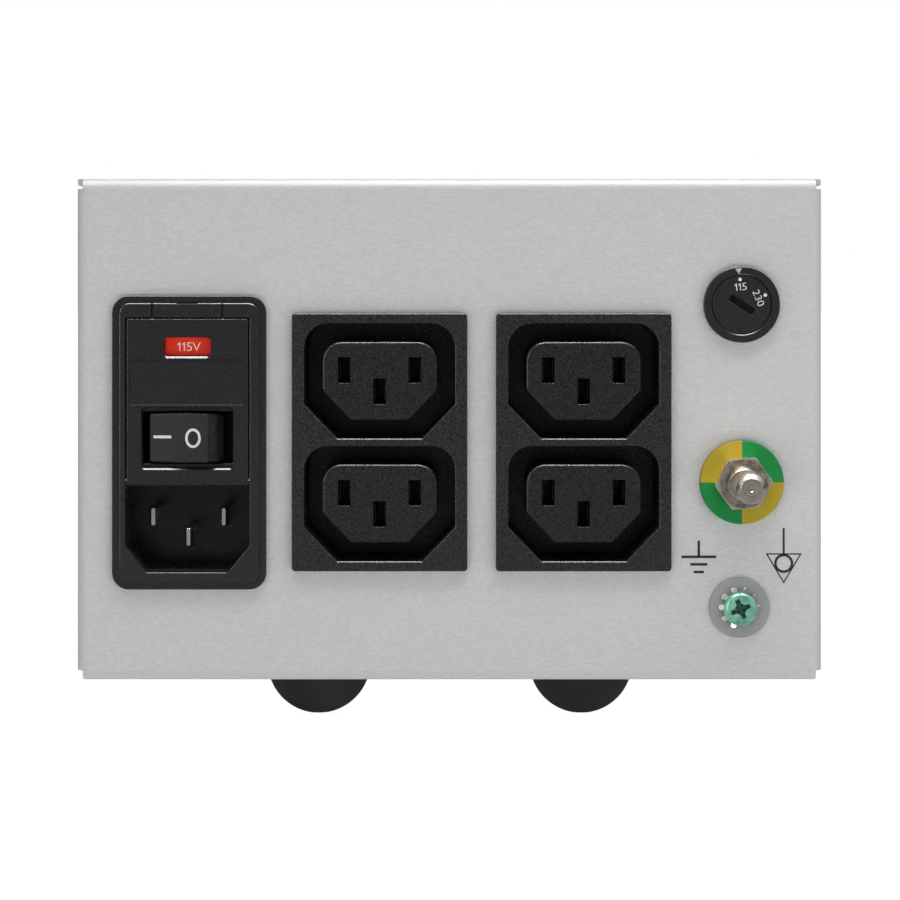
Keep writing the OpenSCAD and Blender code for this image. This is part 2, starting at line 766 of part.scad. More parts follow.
module at_fuses() {
    at_drawer() for (i = [0, 1])
        translate([-fuse_len / 2, 0, -fuse_first - i * fuse_pitch]) rotate([0, 90, 0]) children();
}

module fuse_drawer() color([0.14, 0.14, 0.15]) difference() {
    at_drawer() block(drawer_w, drawer_h, -drawer_len, 0);
    at_fuses() translate([-fuse_d / 2 - fit_gap, -fuse_d / 2 - fit_gap, -fit_gap])
        cube([fuse_d + 2 * fit_gap, drawer_h, fuse_len + 2 * fit_gap]);
    at_core() translate([0, window_up, 0])
        block(window_w + 2 * fit_gap, window_h + 2 * fit_gap, front_gap - flag_t, front_gap + overrun);
}

module voltage_flag() color([0.75, 0.1, 0.1]) at_core() translate([0, window_up, 0])
    block(window_w, window_h, front_gap - flag_t, front_gap);

module fuse_tubes() color([0.8, 0.9, 0.9]) at_fuses()
    rod(fuse_d - 2 * cap_t - 2 * thread_gap, cap_t, fuse_len - cap_t);

module fuse_caps() color("silver") at_fuses() {
    bore = fuse_d - 2 * cap_t;
    difference() {
        rod(fuse_d, 0, cap_len);
        rod(bore, cap_t, cap_len + overrun);
    }
    difference() {
        rod(fuse_d, fuse_len - cap_len, fuse_len);
        rod(bore, fuse_len - cap_len - overrun, fuse_len - cap_t);
    }
}

// Places the rocker's own frame: X across its face, Y away from its hinge axis and Z along the axis.
module at_rocker(tilt) {
    at_core() translate([0, switch_up, -rocker_axis_back]) rotate([-90, 0, 0]) rotate(tilt) children();
}

module switch_body() color([0.1, 0.1, 0.1]) difference() {
    at_core() translate([0, switch_up, 0]) block(switch_body_w, switch_body_h, -switch_d, front_gap);
    at_core() translate([0, switch_up, 0]) block(switch_w, rocker_well_h, -well_depth, front_gap + overrun);
    at_rocker(0) rod(pivot_d + 2 * running_gap, -pivot_hole_end, pivot_hole_end);
}

module rocker() color([0.16, 0.16, 0.17]) at_rocker(-rocker_tilt) {
    face = rocker_face_w / 2;
    end = face + facet_w;
    prism(-rocker_h / 2, rocker_h / 2) polygon([[-face, -rocker_reach], [face, -rocker_reach],
        [end, facet_drop - rocker_reach], [end - rocker_taper, rocker_root],
        [rocker_taper - end, rocker_root], [-end, facet_drop - rocker_reach]]);
    rod(pivot_d, slide_gap - pivot_hole_end, pivot_hole_end - slide_gap);
}

module switch_terminals() color("silver") at_core() for (side = [-1, 1])
    translate([side * switch_w / 4, switch_up, 0]) block(tab_t, tab_w, -switch_d - tab_len, -switch_d);

module at_outlets(x) {
    at_panel(x, block_up) for (end = [-1, 1]) translate([0, end * outlet_pitch / 2, 0]) children();
}

module recess_2d(grow) {
    socket_2d(outlet_w + 2 * grow, outlet_h + 2 * grow, outlet_r + grow, outlet_cut_w, outlet_cut_h);
}

module outlet_block(x) color([0.13, 0.13, 0.14]) difference() {
    at_panel(x, block_up) {
        slab(block_w, block_h, block_r, 0, block_t);
        slab(block_body_w, block_body_h, block_r, -block_d, 0);
        snap_lugs(block_body_w, block_body_h);
    }
    at_outlets(x) prism(-block_d - overrun, block_t + overrun) recess_2d(0);
}

module at_slots() {
    for (side = [-1, 1]) translate([side * slot_pitch / 2, slot_drop / 2, 0]) children();
    translate([0, -slot_drop / 2, 0]) children();
}

module outlet_core(x, end) color([0.15, 0.15, 0.16]) at_panel(x, block_up + end * outlet_pitch / 2)
    difference() {
        union() {
            prism(-block_d, core_face)
                socket_2d(outlet_core_w, outlet_core_h, outlet_core_r, outlet_core_cut_w, outlet_core_cut_h);
            prism(-block_d, outlet_flange_t - block_d) recess_2d(-fit_gap);
            prism(core_back, -block_d) recess_2d(outlet_core_rim);
        }
        at_slots() {
            block(slot_w, slot_h, slot_floor, core_face + overrun);
            block(tab_t + 2 * fit_gap, tab_w + 2 * fit_gap, core_back - overrun, slot_floor);
        }
    }

module outlet_contacts() color("silver") for (x = [block_left_x, block_right_x]) at_outlets(x) at_slots() {
    base = slot_floor + fit_gap;
    half = slot_w / 2 - fit_gap;
    block(2 * half, leaf_w, base, base + leaf_t);
    for (side = [-1, 1])
        translate([side * (half - leaf_t / 2), 0, 0]) block(leaf_t, leaf_w, base, base + leaf_len);
    block(tab_t, tab_w, core_back - tab_len, base);
}

module selector_body() color([0.2, 0.2, 0.21]) at_panel(selector_x, selector_up) difference() {
    union() {
        rod(collar_d, 0, collar_t);
        rod(barrel_d, -barrel_len, 0);
    }
    rod(dial_d + 2 * slide_gap, dial_face - dial_t - running_gap, collar_t + overrun);
    rod(shaft_d + 2 * running_gap, -shaft_len - slide_gap, collar_t);
}

module selector_dial() color([0.22, 0.22, 0.23]) at_panel(selector_x, selector_up) difference() {
    union() {
        rod(dial_d, dial_face - dial_t, dial_face);
        rod(shaft_d, -shaft_len, dial_face - dial_t);
    }
    rotate(-driver_slot_angle)
        block(driver_slot_len, driver_slot_w, dial_face - driver_slot_depth, dial_face + overrun);
}

module selector_nut() color("silver") at_panel(selector_x, selector_up)
    hex_nut(collar_nut_af, barrel_d, -sheet_t - collar_nut_t, -sheet_t);

module selector_terminals() color("silver") at_panel(selector_x, selector_up) for (turn = [45:90:315])
    rotate(turn) translate([barrel_d / 4, 0, 0]) block(tab_t, tab_w / 2, -barrel_len - tab_len, -barrel_len);

module potential_disc() color("yellowgreen") at_panel(potential_x, potential_up)
    washer(disc_d, potential_d + 2 * fit_gap, 0, disc_t);

module potential_pin() color("silver") at_panel(potential_x, potential_up) {
    pin_r = potential_d / 2;
    hex_top = disc_t + hex_h;
    groove = hex_top + groove_up;
    corner = hex_af / 2 / cos(30);
    rotate_extrude() polygon([[0, -stud_len], [pin_r, -stud_len], [pin_r, groove], [groove_d / 2, groove],
        [groove_d / 2, groove + groove_w], [pin_r, groove + groove_w], [pin_r, potential_len - tip_len],
        [pin_r - tip_cut, potential_len], [0, potential_len]]);
    intersection() {
        rotate(hex_turn) hexagon(hex_af, disc_t, hex_top);
        rotate_extrude() polygon([[0, disc_t], [corner + hex_chamfer, disc_t],
            [corner + hex_chamfer, hex_top - hex_chamfer], [corner - hex_chamfer, hex_top], [0, hex_top]]);
    }
}

module potential_washer() color("silver") at_panel(potential_x, potential_up)
    washer(ring_d, potential_d + 2 * fit_gap, -sheet_t - ring_t, -sheet_t);

module potential_nut() color("silver") at_panel(potential_x, potential_up)
    hex_nut(potential_nut_af, potential_d, -sheet_t - 2 * ring_t - potential_nut_t, -sheet_t - 2 * ring_t);

module earth_disc() color("darkgray") at_panel(earth_x, earth_up)
    washer(earth_disc_d, earth_d + 2 * fit_gap, 0, earth_disc_t);

tooth_rise = (tooth_w * sin(tooth_twist) + star_t * cos(tooth_twist)) / 2;
star_mid = earth_disc_t + tooth_rise + thread_gap;
earth_seat = star_mid + tooth_rise + thread_gap;

module star_washer() color("silver") at_panel(earth_x, earth_up) translate([0, 0, star_mid]) {
    hub_d = star_d - 2 * tooth_len;
    washer(hub_d, earth_d + 2 * fit_gap, -star_t / 2, star_t / 2);
    for (i = [0:teeth - 1]) rotate(i * 360 / teeth)
        translate([star_d / 2 - tooth_len / 2 - fit_gap, 0, 0]) rotate([tooth_twist, 0, 0])
            cube([tooth_len + fit_gap, tooth_w, star_t], center = true);
}

module earth_screw() color("silver") at_panel(earth_x, earth_up) difference() {
    head_r = earth_head_d / 2;
    head_top = earth_seat + earth_head_h;
    rotate_extrude() polygon([[0, earth_seat - earth_len], [earth_d / 2, earth_seat - earth_len],
        [earth_d / 2, earth_seat], [head_r, earth_seat], [head_r, head_top - earth_head_chamfer],
        [head_r - earth_head_chamfer, head_top], [0, head_top]]);
    rotate(earth_turn) cross_recess(earth_recess_len, earth_recess_w, earth_recess_depth, head_top);
}

module earth_nut() color("silver") at_panel(earth_x, earth_up)
    hex_nut(earth_nut_af, earth_d, -sheet_t - ring_t - earth_nut_t, -sheet_t - ring_t);

// Ring terminal behind the panel, with its crimp barrel to the left before it is turned.
module ring_terminal(bore_d, top, turn) {
    axis = top - crimp_d / 2;
    rotate(turn) difference() {
        union() {
            rod(ring_d, top - ring_t, top);
            translate([-ring_d / 2 - crimp_len, 0, axis]) rotate([0, 90, 0])
                cylinder(h = crimp_len, d = crimp_d);
            translate([-ring_d / 2 - fit_gap, -crimp_d / 2, top - ring_t])
                cube([ring_d / 2, crimp_d, ring_t]);
        }
        rod(bore_d + 2 * fit_gap, top - ring_t - overrun, top + overrun);
    }
}

module ring_terminals() color("gold") {
    at_panel(potential_x, potential_up) ring_terminal(potential_d, -sheet_t - ring_t, -90);
    at_panel(earth_x, earth_up) ring_terminal(earth_d, -sheet_t, 0);
}

// Ring of the given section round the transformer's axis.
module wound_ring(inset, r) {
    w = (ring_od - ring_id) / 2 - 2 * inset;
    translate([0, ring_y, 0]) rotate_extrude()
        translate([(ring_od + ring_id) / 4, winding_low + winding_h / 2])
            round_rect(w, winding_h - 2 * inset, r);
}

module transformer_core() color("dimgray") wound_ring(winding_t + fit_gap, winding_r - winding_t + fit_gap);

module transformer_winding() color("goldenrod") difference() {
    wound_ring(0, winding_r);
    wound_ring(winding_t, winding_r - winding_t + 2 * fit_gap);
}

module pad(low) {
    inset = 2 * (winding_r + pad_margin);
    translate([0, ring_y, 0]) washer(ring_od - inset, ring_id + inset, low, low + pad_t);
}

module lower_pad() color("dimgray") pad(floor_z);

module upper_pad() color("dimgray") pad(winding_top);

module clamp_washer() color("silver") translate([0, ring_y, 0]) {
    flat_r = clamp_flat_d / 2;
    rim_r = ring_id / 2 - fit_gap;
    hole_r = bolt_d / 2 + fit_gap;
    rotate_extrude() polygon([[hole_r, clamp_mid_top], [hole_r, clamp_mid_top - clamp_t],
        [flat_r, clamp_mid_top - clamp_t], [rim_r, clamp_low], [clamp_d / 2, clamp_low],
        [clamp_d / 2, clamp_low + clamp_t], [rim_r, clamp_low + clamp_t], [flat_r, clamp_mid_top]]);
}

module centre_bolt() color("silver") translate([0, ring_y, 0]) {
    hexagon(bolt_af, foot_h - bolt_head_h, foot_h);
    rod(bolt_d, foot_h - bolt_head_h, clamp_mid_top + bolt_nut_t + bolt_spare);
}

module centre_nut() color("silver") translate([0, ring_y, 0])
    hex_nut(bolt_af, bolt_d, clamp_mid_top, clamp_mid_top + bolt_nut_t);

module thermal_cutout() color("silver") translate([0, ring_y - (ring_id + clamp_d) / 4, clamp_low + clamp_t])
    rod(cutout_d, 0, cutout_h);

function mix_points(a, b, c, d, t) =
    pow(1 - t, 3) * a + 3 * pow(1 - t, 2) * t * b + 3 * (1 - t) * t * t * c + t * t * t * d;
function slope(a, b, c, d, t) =
    pow(1 - t, 2) * (b - a) + 2 * (1 - t) * t * (c - b) + t * t * (d - c);
function unit(v) = v / norm(v);
function panel_point(x, up, out) = [x, panel_y - out, shell_z + up];
lead_rings = 12;
lead_sides = 8;

// Lead that leaves its start along start_way and comes back to its end against end_way.
module lead(start, start_way, end, end_way) {
    a = start + lead_gap * start_way;
    d = end + lead_gap * end_way;
    b = a + lead_reach * start_way;
    c = d + lead_reach * end_way;
    points = [for (i = [0:lead_rings]) let (t = i / lead_rings, along = unit(slope(a, b, c, d, t)),
        side = unit(cross(along, [0.3, 0.2, 1])), up = cross(side, along))
        for (k = [0:lead_sides - 1]) let (turn = k * 360 / lead_sides)
            mix_points(a, b, c, d, t) + lead_d / 2 * (cos(turn) * side + sin(turn) * up)];
    walls = [for (i = [0:lead_rings - 1], k = [0:lead_sides - 1])
        let (base = i * lead_sides, a = base + k, b = base + (k + 1) % lead_sides)
            each [[a, b, b + lead_sides], [a, b + lead_sides, a + lead_sides]]];
    first = [for (k = [lead_sides - 1:-1:0]) k];
    last = [for (k = [0:lead_sides - 1]) lead_rings * lead_sides + k];
    polyhedron(points, concat([first], walls, [last]));
}

// Point on the winding's outer wall at an angle from the right, and the way out of it there.
function ring_way(angle) = [cos(angle), sin(angle), 0];
function ring_point(angle, share) =
    [0, ring_y, winding_low + share * winding_h] + ring_od / 2 * ring_way(angle);

inward = [0, 1, 0];
left = [-1, 0, 0];
upward = [0, 0, 1];
primary_angle = 225;
secondary_angles = [256, 296];
selector_angle = 315;
lead_angle_step = 9;
lead_height_share = 0.7;

// Lead from a terminal behind the panel to the winding's outer wall at an angle.
module winding_lead(start, angle) {
    lead(start, inward, ring_point(angle, lead_height_share), ring_way(angle));
}

module primary_leads() color("saddlebrown") for (side = [-1, 1])
    winding_lead(panel_point(module_x + core_x + side * switch_w / 4, module_up + switch_up,
        -switch_d - tab_len), primary_angle + side * lead_angle_step);

module secondary_leads() color("royalblue") for (side = [0, 1])
    winding_lead(panel_point([block_left_x, block_right_x][side] + slot_pitch / 2,
        block_up + (outlet_pitch + slot_drop) / 2, core_back - tab_len), secondary_angles[side]);

module selector_leads() color("red") for (side = [-1, 1])
    winding_lead(panel_point(selector_x + side * barrel_d / 4 * cos(45), selector_up - barrel_d / 4 * sin(45),
        -barrel_len - tab_len), selector_angle + side * lead_angle_step);

module earth_leads() color("limegreen") {
    crimp_reach = ring_d / 2 + crimp_len;
    inlet_tab_up = module_up + door_low - pin_down - pin_drop;
    outlet_tab_up = block_up - (outlet_pitch + slot_drop) / 2;
    lead(panel_point(module_x + core_x, inlet_tab_up, -housing_d - tab_len), inward,
        panel_point(earth_x - crimp_reach, earth_up, -sheet_t - crimp_d / 2), left);
    lead(panel_point(block_right_x, outlet_tab_up, core_back - tab_len), inward,
        panel_point(potential_x, potential_up + crimp_reach, -sheet_t - ring_t - crimp_d / 2), upward);
}

outer_shell();
base_tray();
case_screws();
clinch_nuts();
foot(1, -1);  // foot_front_left
foot(1, 1);  // foot_front_right
foot(-1, -1);  // foot_rear_left
foot(-1, 1);  // foot_rear_right
inlet_housing();
inlet_pins();
fuse_door();
fuse_drawer();
fuse_tubes();
fuse_caps();
voltage_flag();
switch_body();
switch_terminals();
rocker();
outlet_block(block_left_x);  // outlet_block_left
outlet_block(block_right_x);  // outlet_block_right
outlet_core(block_left_x, 1);  // outlet_core_left_upper
outlet_core(block_left_x, -1);  // outlet_core_left_lower
outlet_core(block_right_x, 1);  // outlet_core_right_upper
outlet_core(block_right_x, -1);  // outlet_core_right_lower
outlet_contacts();
selector_body();
selector_dial();
selector_nut();
selector_terminals();
potential_disc();
potential_pin();
potential_washer();
potential_nut();
earth_disc();
star_washer();
earth_screw();
earth_nut();
ring_terminals();
transformer_core();
transformer_winding();
lower_pad();
upper_pad();
clamp_washer();
centre_bolt();
centre_nut();
thermal_cutout();
primary_leads();
secondary_leads();
selector_leads();
earth_leads();
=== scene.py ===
import math
from types import SimpleNamespace
import bmesh
import bpy
from mathutils import Matrix, Vector


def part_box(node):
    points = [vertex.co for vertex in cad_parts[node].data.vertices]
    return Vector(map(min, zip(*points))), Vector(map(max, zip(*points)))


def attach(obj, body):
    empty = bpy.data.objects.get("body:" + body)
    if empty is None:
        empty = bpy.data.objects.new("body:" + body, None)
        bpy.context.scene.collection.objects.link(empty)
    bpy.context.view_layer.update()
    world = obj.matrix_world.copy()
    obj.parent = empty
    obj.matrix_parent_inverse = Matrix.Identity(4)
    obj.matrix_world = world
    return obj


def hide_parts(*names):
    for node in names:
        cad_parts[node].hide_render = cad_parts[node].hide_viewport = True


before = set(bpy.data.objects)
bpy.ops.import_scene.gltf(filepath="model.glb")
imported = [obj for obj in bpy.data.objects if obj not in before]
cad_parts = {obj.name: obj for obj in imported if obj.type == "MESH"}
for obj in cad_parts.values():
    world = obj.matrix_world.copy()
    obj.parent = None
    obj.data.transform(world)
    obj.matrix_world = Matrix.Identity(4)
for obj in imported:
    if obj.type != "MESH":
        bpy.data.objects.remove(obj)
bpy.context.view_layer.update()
print("frame loaded")

mm = 0.001
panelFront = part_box("outer_shell")[0].y  # outer face of the front panel


def middleOf(node):
    low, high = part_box(node)
    return (low + high) / 2


def onPanel(spot):  # millimetres in X, up and out of the panel, to metres in the frame
    return Matrix(((mm, 0, 0, spot.x), (0, 0, -mm, panelFront), (0, mm, 0, spot.z), (0, 0, 0, 1)))


# Outlines, in millimetres

def roundCorners(corners, steps=6):  # corners are (x, y, radius), anticlockwise
    outline = []
    for i, (x, y, radius) in enumerate(corners):
        here = Vector((x, y))
        before = (Vector(corners[i - 1][:2]) - here).normalized()
        after = (Vector(corners[(i + 1) % len(corners)][:2]) - here).normalized()
        half = before.angle(after) / 2
        reach = radius / math.tan(half)
        centre = here + (before + after).normalized() * radius / math.sin(half)
        start = here + before * reach - centre
        turn = (math.pi - 2 * half) / steps
        for k in range(steps + 1):
            outline.append(centre + Matrix.Rotation(turn * k, 2) @ start)
    return outline


def rectangle(width, height, radius, x=0.0, y=0.0):
    w, h = width / 2, height / 2
    return roundCorners([(x + right * w, y + up * h, radius) for right, up in ((-1, -1), (1, -1), (1, 1), (-1, 1))])


def socketShape(width, height, top, cutWide, cutHigh, soft, y=0.0):  # a rectangle with its lower corners cut off
    w, h = width / 2, height / 2
    return roundCorners([(cutWide - w, y - h, soft), (w - cutWide, y - h, soft), (w, y - h + cutHigh, soft),
                         (w, y + h, top), (-w, y + h, top), (-w, y - h + cutHigh, soft)])


def oval(x, y, wide, high, steps):
    turns = [t * math.tau / steps for t in range(steps)]
    return [Vector((x + wide * math.cos(t), y + high * math.sin(t))) for t in turns]


def turned(outline, degrees):
    return [Matrix.Rotation(math.radians(degrees), 2) @ p for p in outline]


def spread(outline, distance):  # moves an outline outwards, or inwards if the distance is negative
    moved = []
    for i, point in enumerate(outline):
        before = (point - outline[i - 1]).normalized()
        after = (outline[(i + 1) % len(outline)] - point).normalized()
        first = Vector((before.y, -before.x))
        normal = (first + Vector((after.y, -after.x))).normalized()
        moved.append(point + normal * distance / max(normal.dot(first), 0.3))
    return moved


def roundOver(outline, height, size, deep, way=-1, steps=4):  # a rounded edge, size wide on the face and deep mm deep
    turns = [math.pi / 2 * k / steps for k in range(steps + 1)]
    return [(spread(outline, way * size * (1 - math.cos(t))), height - deep * (1 - math.sin(t))) for t in turns]


# Meshes

def newPiece(name, mesh):
    piece = bpy.data.objects.new(name, mesh)
    bpy.context.scene.collection.objects.link(piece)
    return piece


def meshFrom(name, build):
    grown = bmesh.new()
    build(grown)
    bmesh.ops.recalc_face_normals(grown, faces=grown.faces)
    mesh = bpy.data.meshes.new(name)
    grown.to_mesh(mesh)
    grown.free()
    return newPiece(name, mesh)


def skin(name, rings):  # joins rings of points, all with as many, and closes both ends
    def build(grown):
        made = [[grown.verts.new(point) for point in ring] for ring in rings]
        for low, high in zip(made, made[1:]):
            for i in range(len(low)):
                grown.faces.new((low[i - 1], low[i], high[i], high[i - 1]))
        grown.faces.new(list(reversed(made[0])))
        grown.faces.new(made[-1])
    return meshFrom(name, build)


def loft(name, sections):  # sections are (outline, height)
    return skin(name, [[(p.x, p.y, z) for p in outline] for outline, z in sections])


def prism(outline, low, high, name="prism"):
    return loft(name, [(outline, low), (outline, high)])


def lathe(name, profile, steps=96):  # profile is (radius, height) and starts and ends on the axis
    turns = [t * math.tau / steps for t in range(steps)]

    def build(grown):
        rings = [[grown.verts.new((radius * math.cos(t), radius * math.sin(t), z)) for t in (turns if radius else [0])]
                 for radius, z in profile]
        for low, high in zip(rings, rings[1:]):
            for t in range(steps):
                around = [low[(t - 1) % len(low)], low[t % len(low)], high[t % len(high)], high[(t - 1) % len(high)]]
                grown.faces.new(list(dict.fromkeys(around)))
    return meshFrom(name, build)


def rod(name, radius, low, high, steps=96):
    return lathe(name, [(0, low), (radius, low), (radius, high), (0, high)], steps)


def edge(radius, top, size, steps=5):  # the rounded upper edge of a lathe profile
    turns = [math.pi / 2 * k / steps for k in range(steps + 1)]
    return [(radius - size + size * math.cos(t), top - size + size * math.sin(t)) for t in turns]


def place(piece, matrix):
    piece.data.transform(matrix)
    if matrix.determinant() < 0:
        piece.data.flip_normals()
    return piece


def plainMesh(piece):  # what the modifiers or the font make of it
    bpy.context.view_layer.update()
    return bpy.data.meshes.new_from_object(piece.evaluated_get(bpy.context.evaluated_depsgraph_get()))


def applyModifiers(piece):
    old = piece.data
    shaped = plainMesh(piece)
    piece.modifiers.clear()
    piece.data = shaped
    bpy.data.meshes.remove(old)
    return piece


def carve(piece, cutters, operation="DIFFERENCE"):
    for cutter in cutters:
        step = piece.modifiers.new("carve", "BOOLEAN")
        step.operation = operation
        step.solver = "EXACT"
        step.object = cutter
    applyModifiers(piece)
    for cutter in cutters:
        bpy.data.objects.remove(cutter)
    return piece


def mouth(sections, high, size, deep):  # a cutter with a rounded mouth
    rounding = roundOver(sections[-1][0], high, size, deep, 1)
    return loft("mouth", [*sections, *rounding, (rounding[-1][0], high + 1)])


def together(name, pieces):
    def build(grown):
        for piece in pieces:
            grown.from_mesh(piece.data)
    joined = meshFrom(name, build)
    for piece in pieces:
        bpy.data.objects.remove(piece)
    return joined


def keepFlats(piece):  # flat faces stay flat beside rounded edges
    step = piece.modifiers.new("flats", "WEIGHTED_NORMAL")
    step.keep_sharp = True
    step.weight = 90
    return applyModifiers(piece)


def soften(piece, width, segments=2, angle=32):  # rounds the edges a little
    piece.data.shade_smooth()
    if width:
        step = piece.modifiers.new("edges", "BEVEL")
        step.width = width
        step.segments = segments
        step.limit_method = "ANGLE"
        step.angle_limit = math.radians(angle)
        step.miter_outer = "MITER_ARC"
    else:
        piece.data.set_sharp_from_angle(angle=math.radians(angle))
    return keepFlats(piece)


def polish(piece, angle=32):  # smooth curves with crisp edges
    grown = bmesh.new()
    grown.from_mesh(piece.data)
    bmesh.ops.remove_doubles(grown, verts=grown.verts, dist=1e-4)
    bmesh.ops.recalc_face_normals(grown, faces=grown.faces)
    grown.to_mesh(piece.data)
    grown.free()
    piece.data.shade_smooth()
    piece.data.set_sharp_from_angle(angle=math.radians(angle))
    return keepFlats(piece)


def nodeCopy(node):  # a CAD node's mesh with its loose triangles joined up
    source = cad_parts[node].data

    def build(grown):
        grown.from_mesh(source)
        bmesh.ops.remove_doubles(grown, verts=grown.verts, dist=1e-6)
        bmesh.ops.dissolve_limit(grown, angle_limit=math.radians(0.5), verts=grown.verts, edges=grown.edges)
    return meshFrom(node + "Copy", build)


def fit(piece, body, slot, material, nodes=()):
    piece.data.materials.clear()
    piece.data.materials.append(material)
    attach(piece, body)
    if nodes:
        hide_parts(*nodes)


def settle(piece, matrix, body, slot, material, nodes=(), angle=32):  # polishes a piece and puts it in its place
    fit(place(polish(piece, angle), matrix), body, slot, material, nodes)


def refine(name, node, width, body, slot, material):
    piece = nodeCopy(node)
    piece.name = name
    fit(soften(piece, width * mm), body, slot, material, [node])


# Geometry Nodes

def wire(tree, links):  # each link is (node, output, node, input)
    for start, output, end, entry in links:
        tree.links.new(start.outputs[output], end.inputs[entry])


def addNodes(tree, prefix, *kinds):
    return [tree.nodes.new(prefix + kind) for kind in kinds]


def copyTree(name, sockets, arrange):  # copies of an object at the points that arrange lays out
    tree = bpy.data.node_groups.new(name, "GeometryNodeTree")
    for label, kind in (("Geometry", "Geometry"), ("Piece", "Object"), *sockets, ("Finish", "Material")):
        tree.interface.new_socket(label, in_out="INPUT", socket_type="NodeSocket" + kind)
    tree.interface.new_socket("Geometry", in_out="OUTPUT", socket_type="NodeSocketGeometry")
    source, result = addNodes(tree, "NodeGroup", "Input", "Output")
    info, copies, joined, real, finish = addNodes(tree, "GeometryNode", "ObjectInfo", "InstanceOnPoints",
                                                  "JoinGeometry", "RealizeInstances", "SetMaterial")
    arrange(tree, source, copies)
    wire(tree, [(source, "Piece", info, "Object"), (info, "Geometry", copies, "Instance"),
                (copies, "Instances", joined, "Geometry"), (source, "Geometry", joined, "Geometry"),
                (joined, "Geometry", real, "Geometry"), (real, "Geometry", finish, "Geometry"),
                (source, "Finish", finish, "Material"), (finish, "Geometry", result, "Geometry")])
    return tree


def inRows(tree, source, copies):  # two rows and two columns
    rows, columns, cross, flat = addNodes(tree, "GeometryNode", "MeshLine", "MeshLine", "InstanceOnPoints",
                                          "RealizeInstances")
    rows.inputs["Count"].default_value = 2
    columns.inputs["Count"].default_value = 2
    wire(tree, [(source, "Start", rows, "Start Location"), (source, "Row step", rows, "Offset"),
                (source, "Column step", columns, "Offset"), (rows, "Mesh", cross, "Points"),
                (columns, "Mesh", cross, "Instance"), (cross, "Instances", flat, "Geometry"),
                (flat, "Geometry", copies, "Points"), (source, "Turn", copies, "Rotation")])


def inRing(tree, source, copies):  # round the Z axis, each turned outwards
    circle, where = addNodes(tree, "GeometryNode", "MeshCircle", "InputPosition")
    aim = tree.nodes.new("FunctionNodeAlignRotationToVector")
    aim.axis = "X"
    aim.pivot_axis = "Z"
    wire(tree, [(source, "Count", circle, "Vertices"), (source, "Radius", circle, "Radius"),
                (circle, "Mesh", copies, "Points"), (where, "Position", aim, "Vector"),
                (aim, "Rotation", copies, "Rotation")])


def grow(piece, tree, values):  # runs a tree on a piece and keeps the plain mesh
    step = piece.modifiers.new("grow", "NODES")
    step.node_group = tree
    for item in tree.interface.items_tree:
        if item.in_out == "INPUT" and item.name in values:
            step[item.identifier] = values[item.name]
    return applyModifiers(piece)


# Shader maths

class Signal:  # a node's output that can stand in a sum
    def __init__(self, paint, socket):
        self.paint = paint
        self.socket = socket

    def join(self, operation, other):
        return self.paint.node("ShaderNodeMath", {"operation": operation}, {0: self, 1: other})

    def __add__(self, other):
        return self.join("ADD", other)

    def __sub__(self, other):
        return self.join("SUBTRACT", other)

    def __mul__(self, other):
        return self.join("MULTIPLY", other)

    def __gt__(self, other):
        return self.join("GREATER_THAN", other)

    def __lt__(self, other):
        return self.join("LESS_THAN", other)

    __radd__ = __add__
    __rmul__ = __mul__


class Paint:  # one material and its nodes
    def __init__(self, name, settings):
        self.material = bpy.data.materials.new(name)
        self.material.use_nodes = True
        self.tree = self.material.node_tree
        self.shader = self.tree.nodes["Principled BSDF"]
        self.connect(self.shader, settings)
        self.place = self.node("ShaderNodeTexCoord", {}, {}, "Object")

    def connect(self, node, inputs):
        for key, value in inputs.items():
            if isinstance(value, Signal):
                self.tree.links.new(value.socket, node.inputs[key])
            else:
                node.inputs[key].default_value = value

    def node(self, kind, settings, inputs, output=0):
        made = self.tree.nodes.new(kind)
        for key, value in settings.items():
            setattr(made, key, value)
        self.connect(made, inputs)
        return Signal(self, made.outputs[output])

    def noise(self, scale, detail=2.0, roughness=0.5, stretch=None):
        place = self.place
        if stretch:
            place = self.node("ShaderNodeMapping", {}, {"Vector": place, "Scale": stretch})
        return self.node("ShaderNodeTexNoise", {}, {"Vector": place, "Scale": scale, "Detail": detail,
                                                    "Roughness": roughness})

    def along(self, axis):
        return self.node("ShaderNodeSeparateXYZ", {}, {0: self.place}, axis)

    def length(self, vector):
        return self.node("ShaderNodeVectorMath", {"operation": "LENGTH"}, {0: vector}, "Value")

    def awayFrom(self, spot):  # distance from the line through a point of the panel, square to it
        offset = self.node("ShaderNodeVectorMath", {"operation": "SUBTRACT"}, {0: self.place, 1: spot})
        return self.length(self.node("ShaderNodeVectorMath", {"operation": "MULTIPLY"}, {0: offset, 1: (1, 0, 1)}))

    def ramp(self, value, low, high):
        return self.node("ShaderNodeMapRange", {}, {0: value, 1: low, 2: high})

    def mix(self, factor, first, second):
        return self.node("ShaderNodeMix", {"data_type": "RGBA"}, {0: factor, 6: first, 7: second}, 2)

    def bump(self, height, strength, distance):
        return self.node("ShaderNodeBump", {}, {"Height": height, "Strength": strength, "Distance": distance})

    def feed(self, **values):
        self.connect(self.shader, {key.replace("_", " "): value for key, value in values.items()})
        return self.material


def shade(colour, factor):
    return (colour[0] * factor, colour[1] * factor, colour[2] * factor, 1)


def powderCoat(name, colour):
    paint = Paint(name, {"Specular IOR Level": 0.28})
    wrinkle = (0.4, 1, 1.2)
    peel = paint.noise(1700, 2, 0.5, wrinkle)
    fleck = paint.noise(2600, 1, 0.5, wrinkle)
    cloud = paint.noise(30, 3)
    tone = paint.mix(paint.ramp(fleck, 0.35, 0.65), shade(colour, 0.94), shade(colour, 1.05))
    tone = paint.mix(cloud * 0.25, tone, shade(colour, 0.93))
    height = peel * 0.7 + fleck * 0.3
    return paint.feed(Base_Color=tone, Roughness=0.42 + 0.14 * fleck, Normal=paint.bump(height, 0.45, 0.00012))


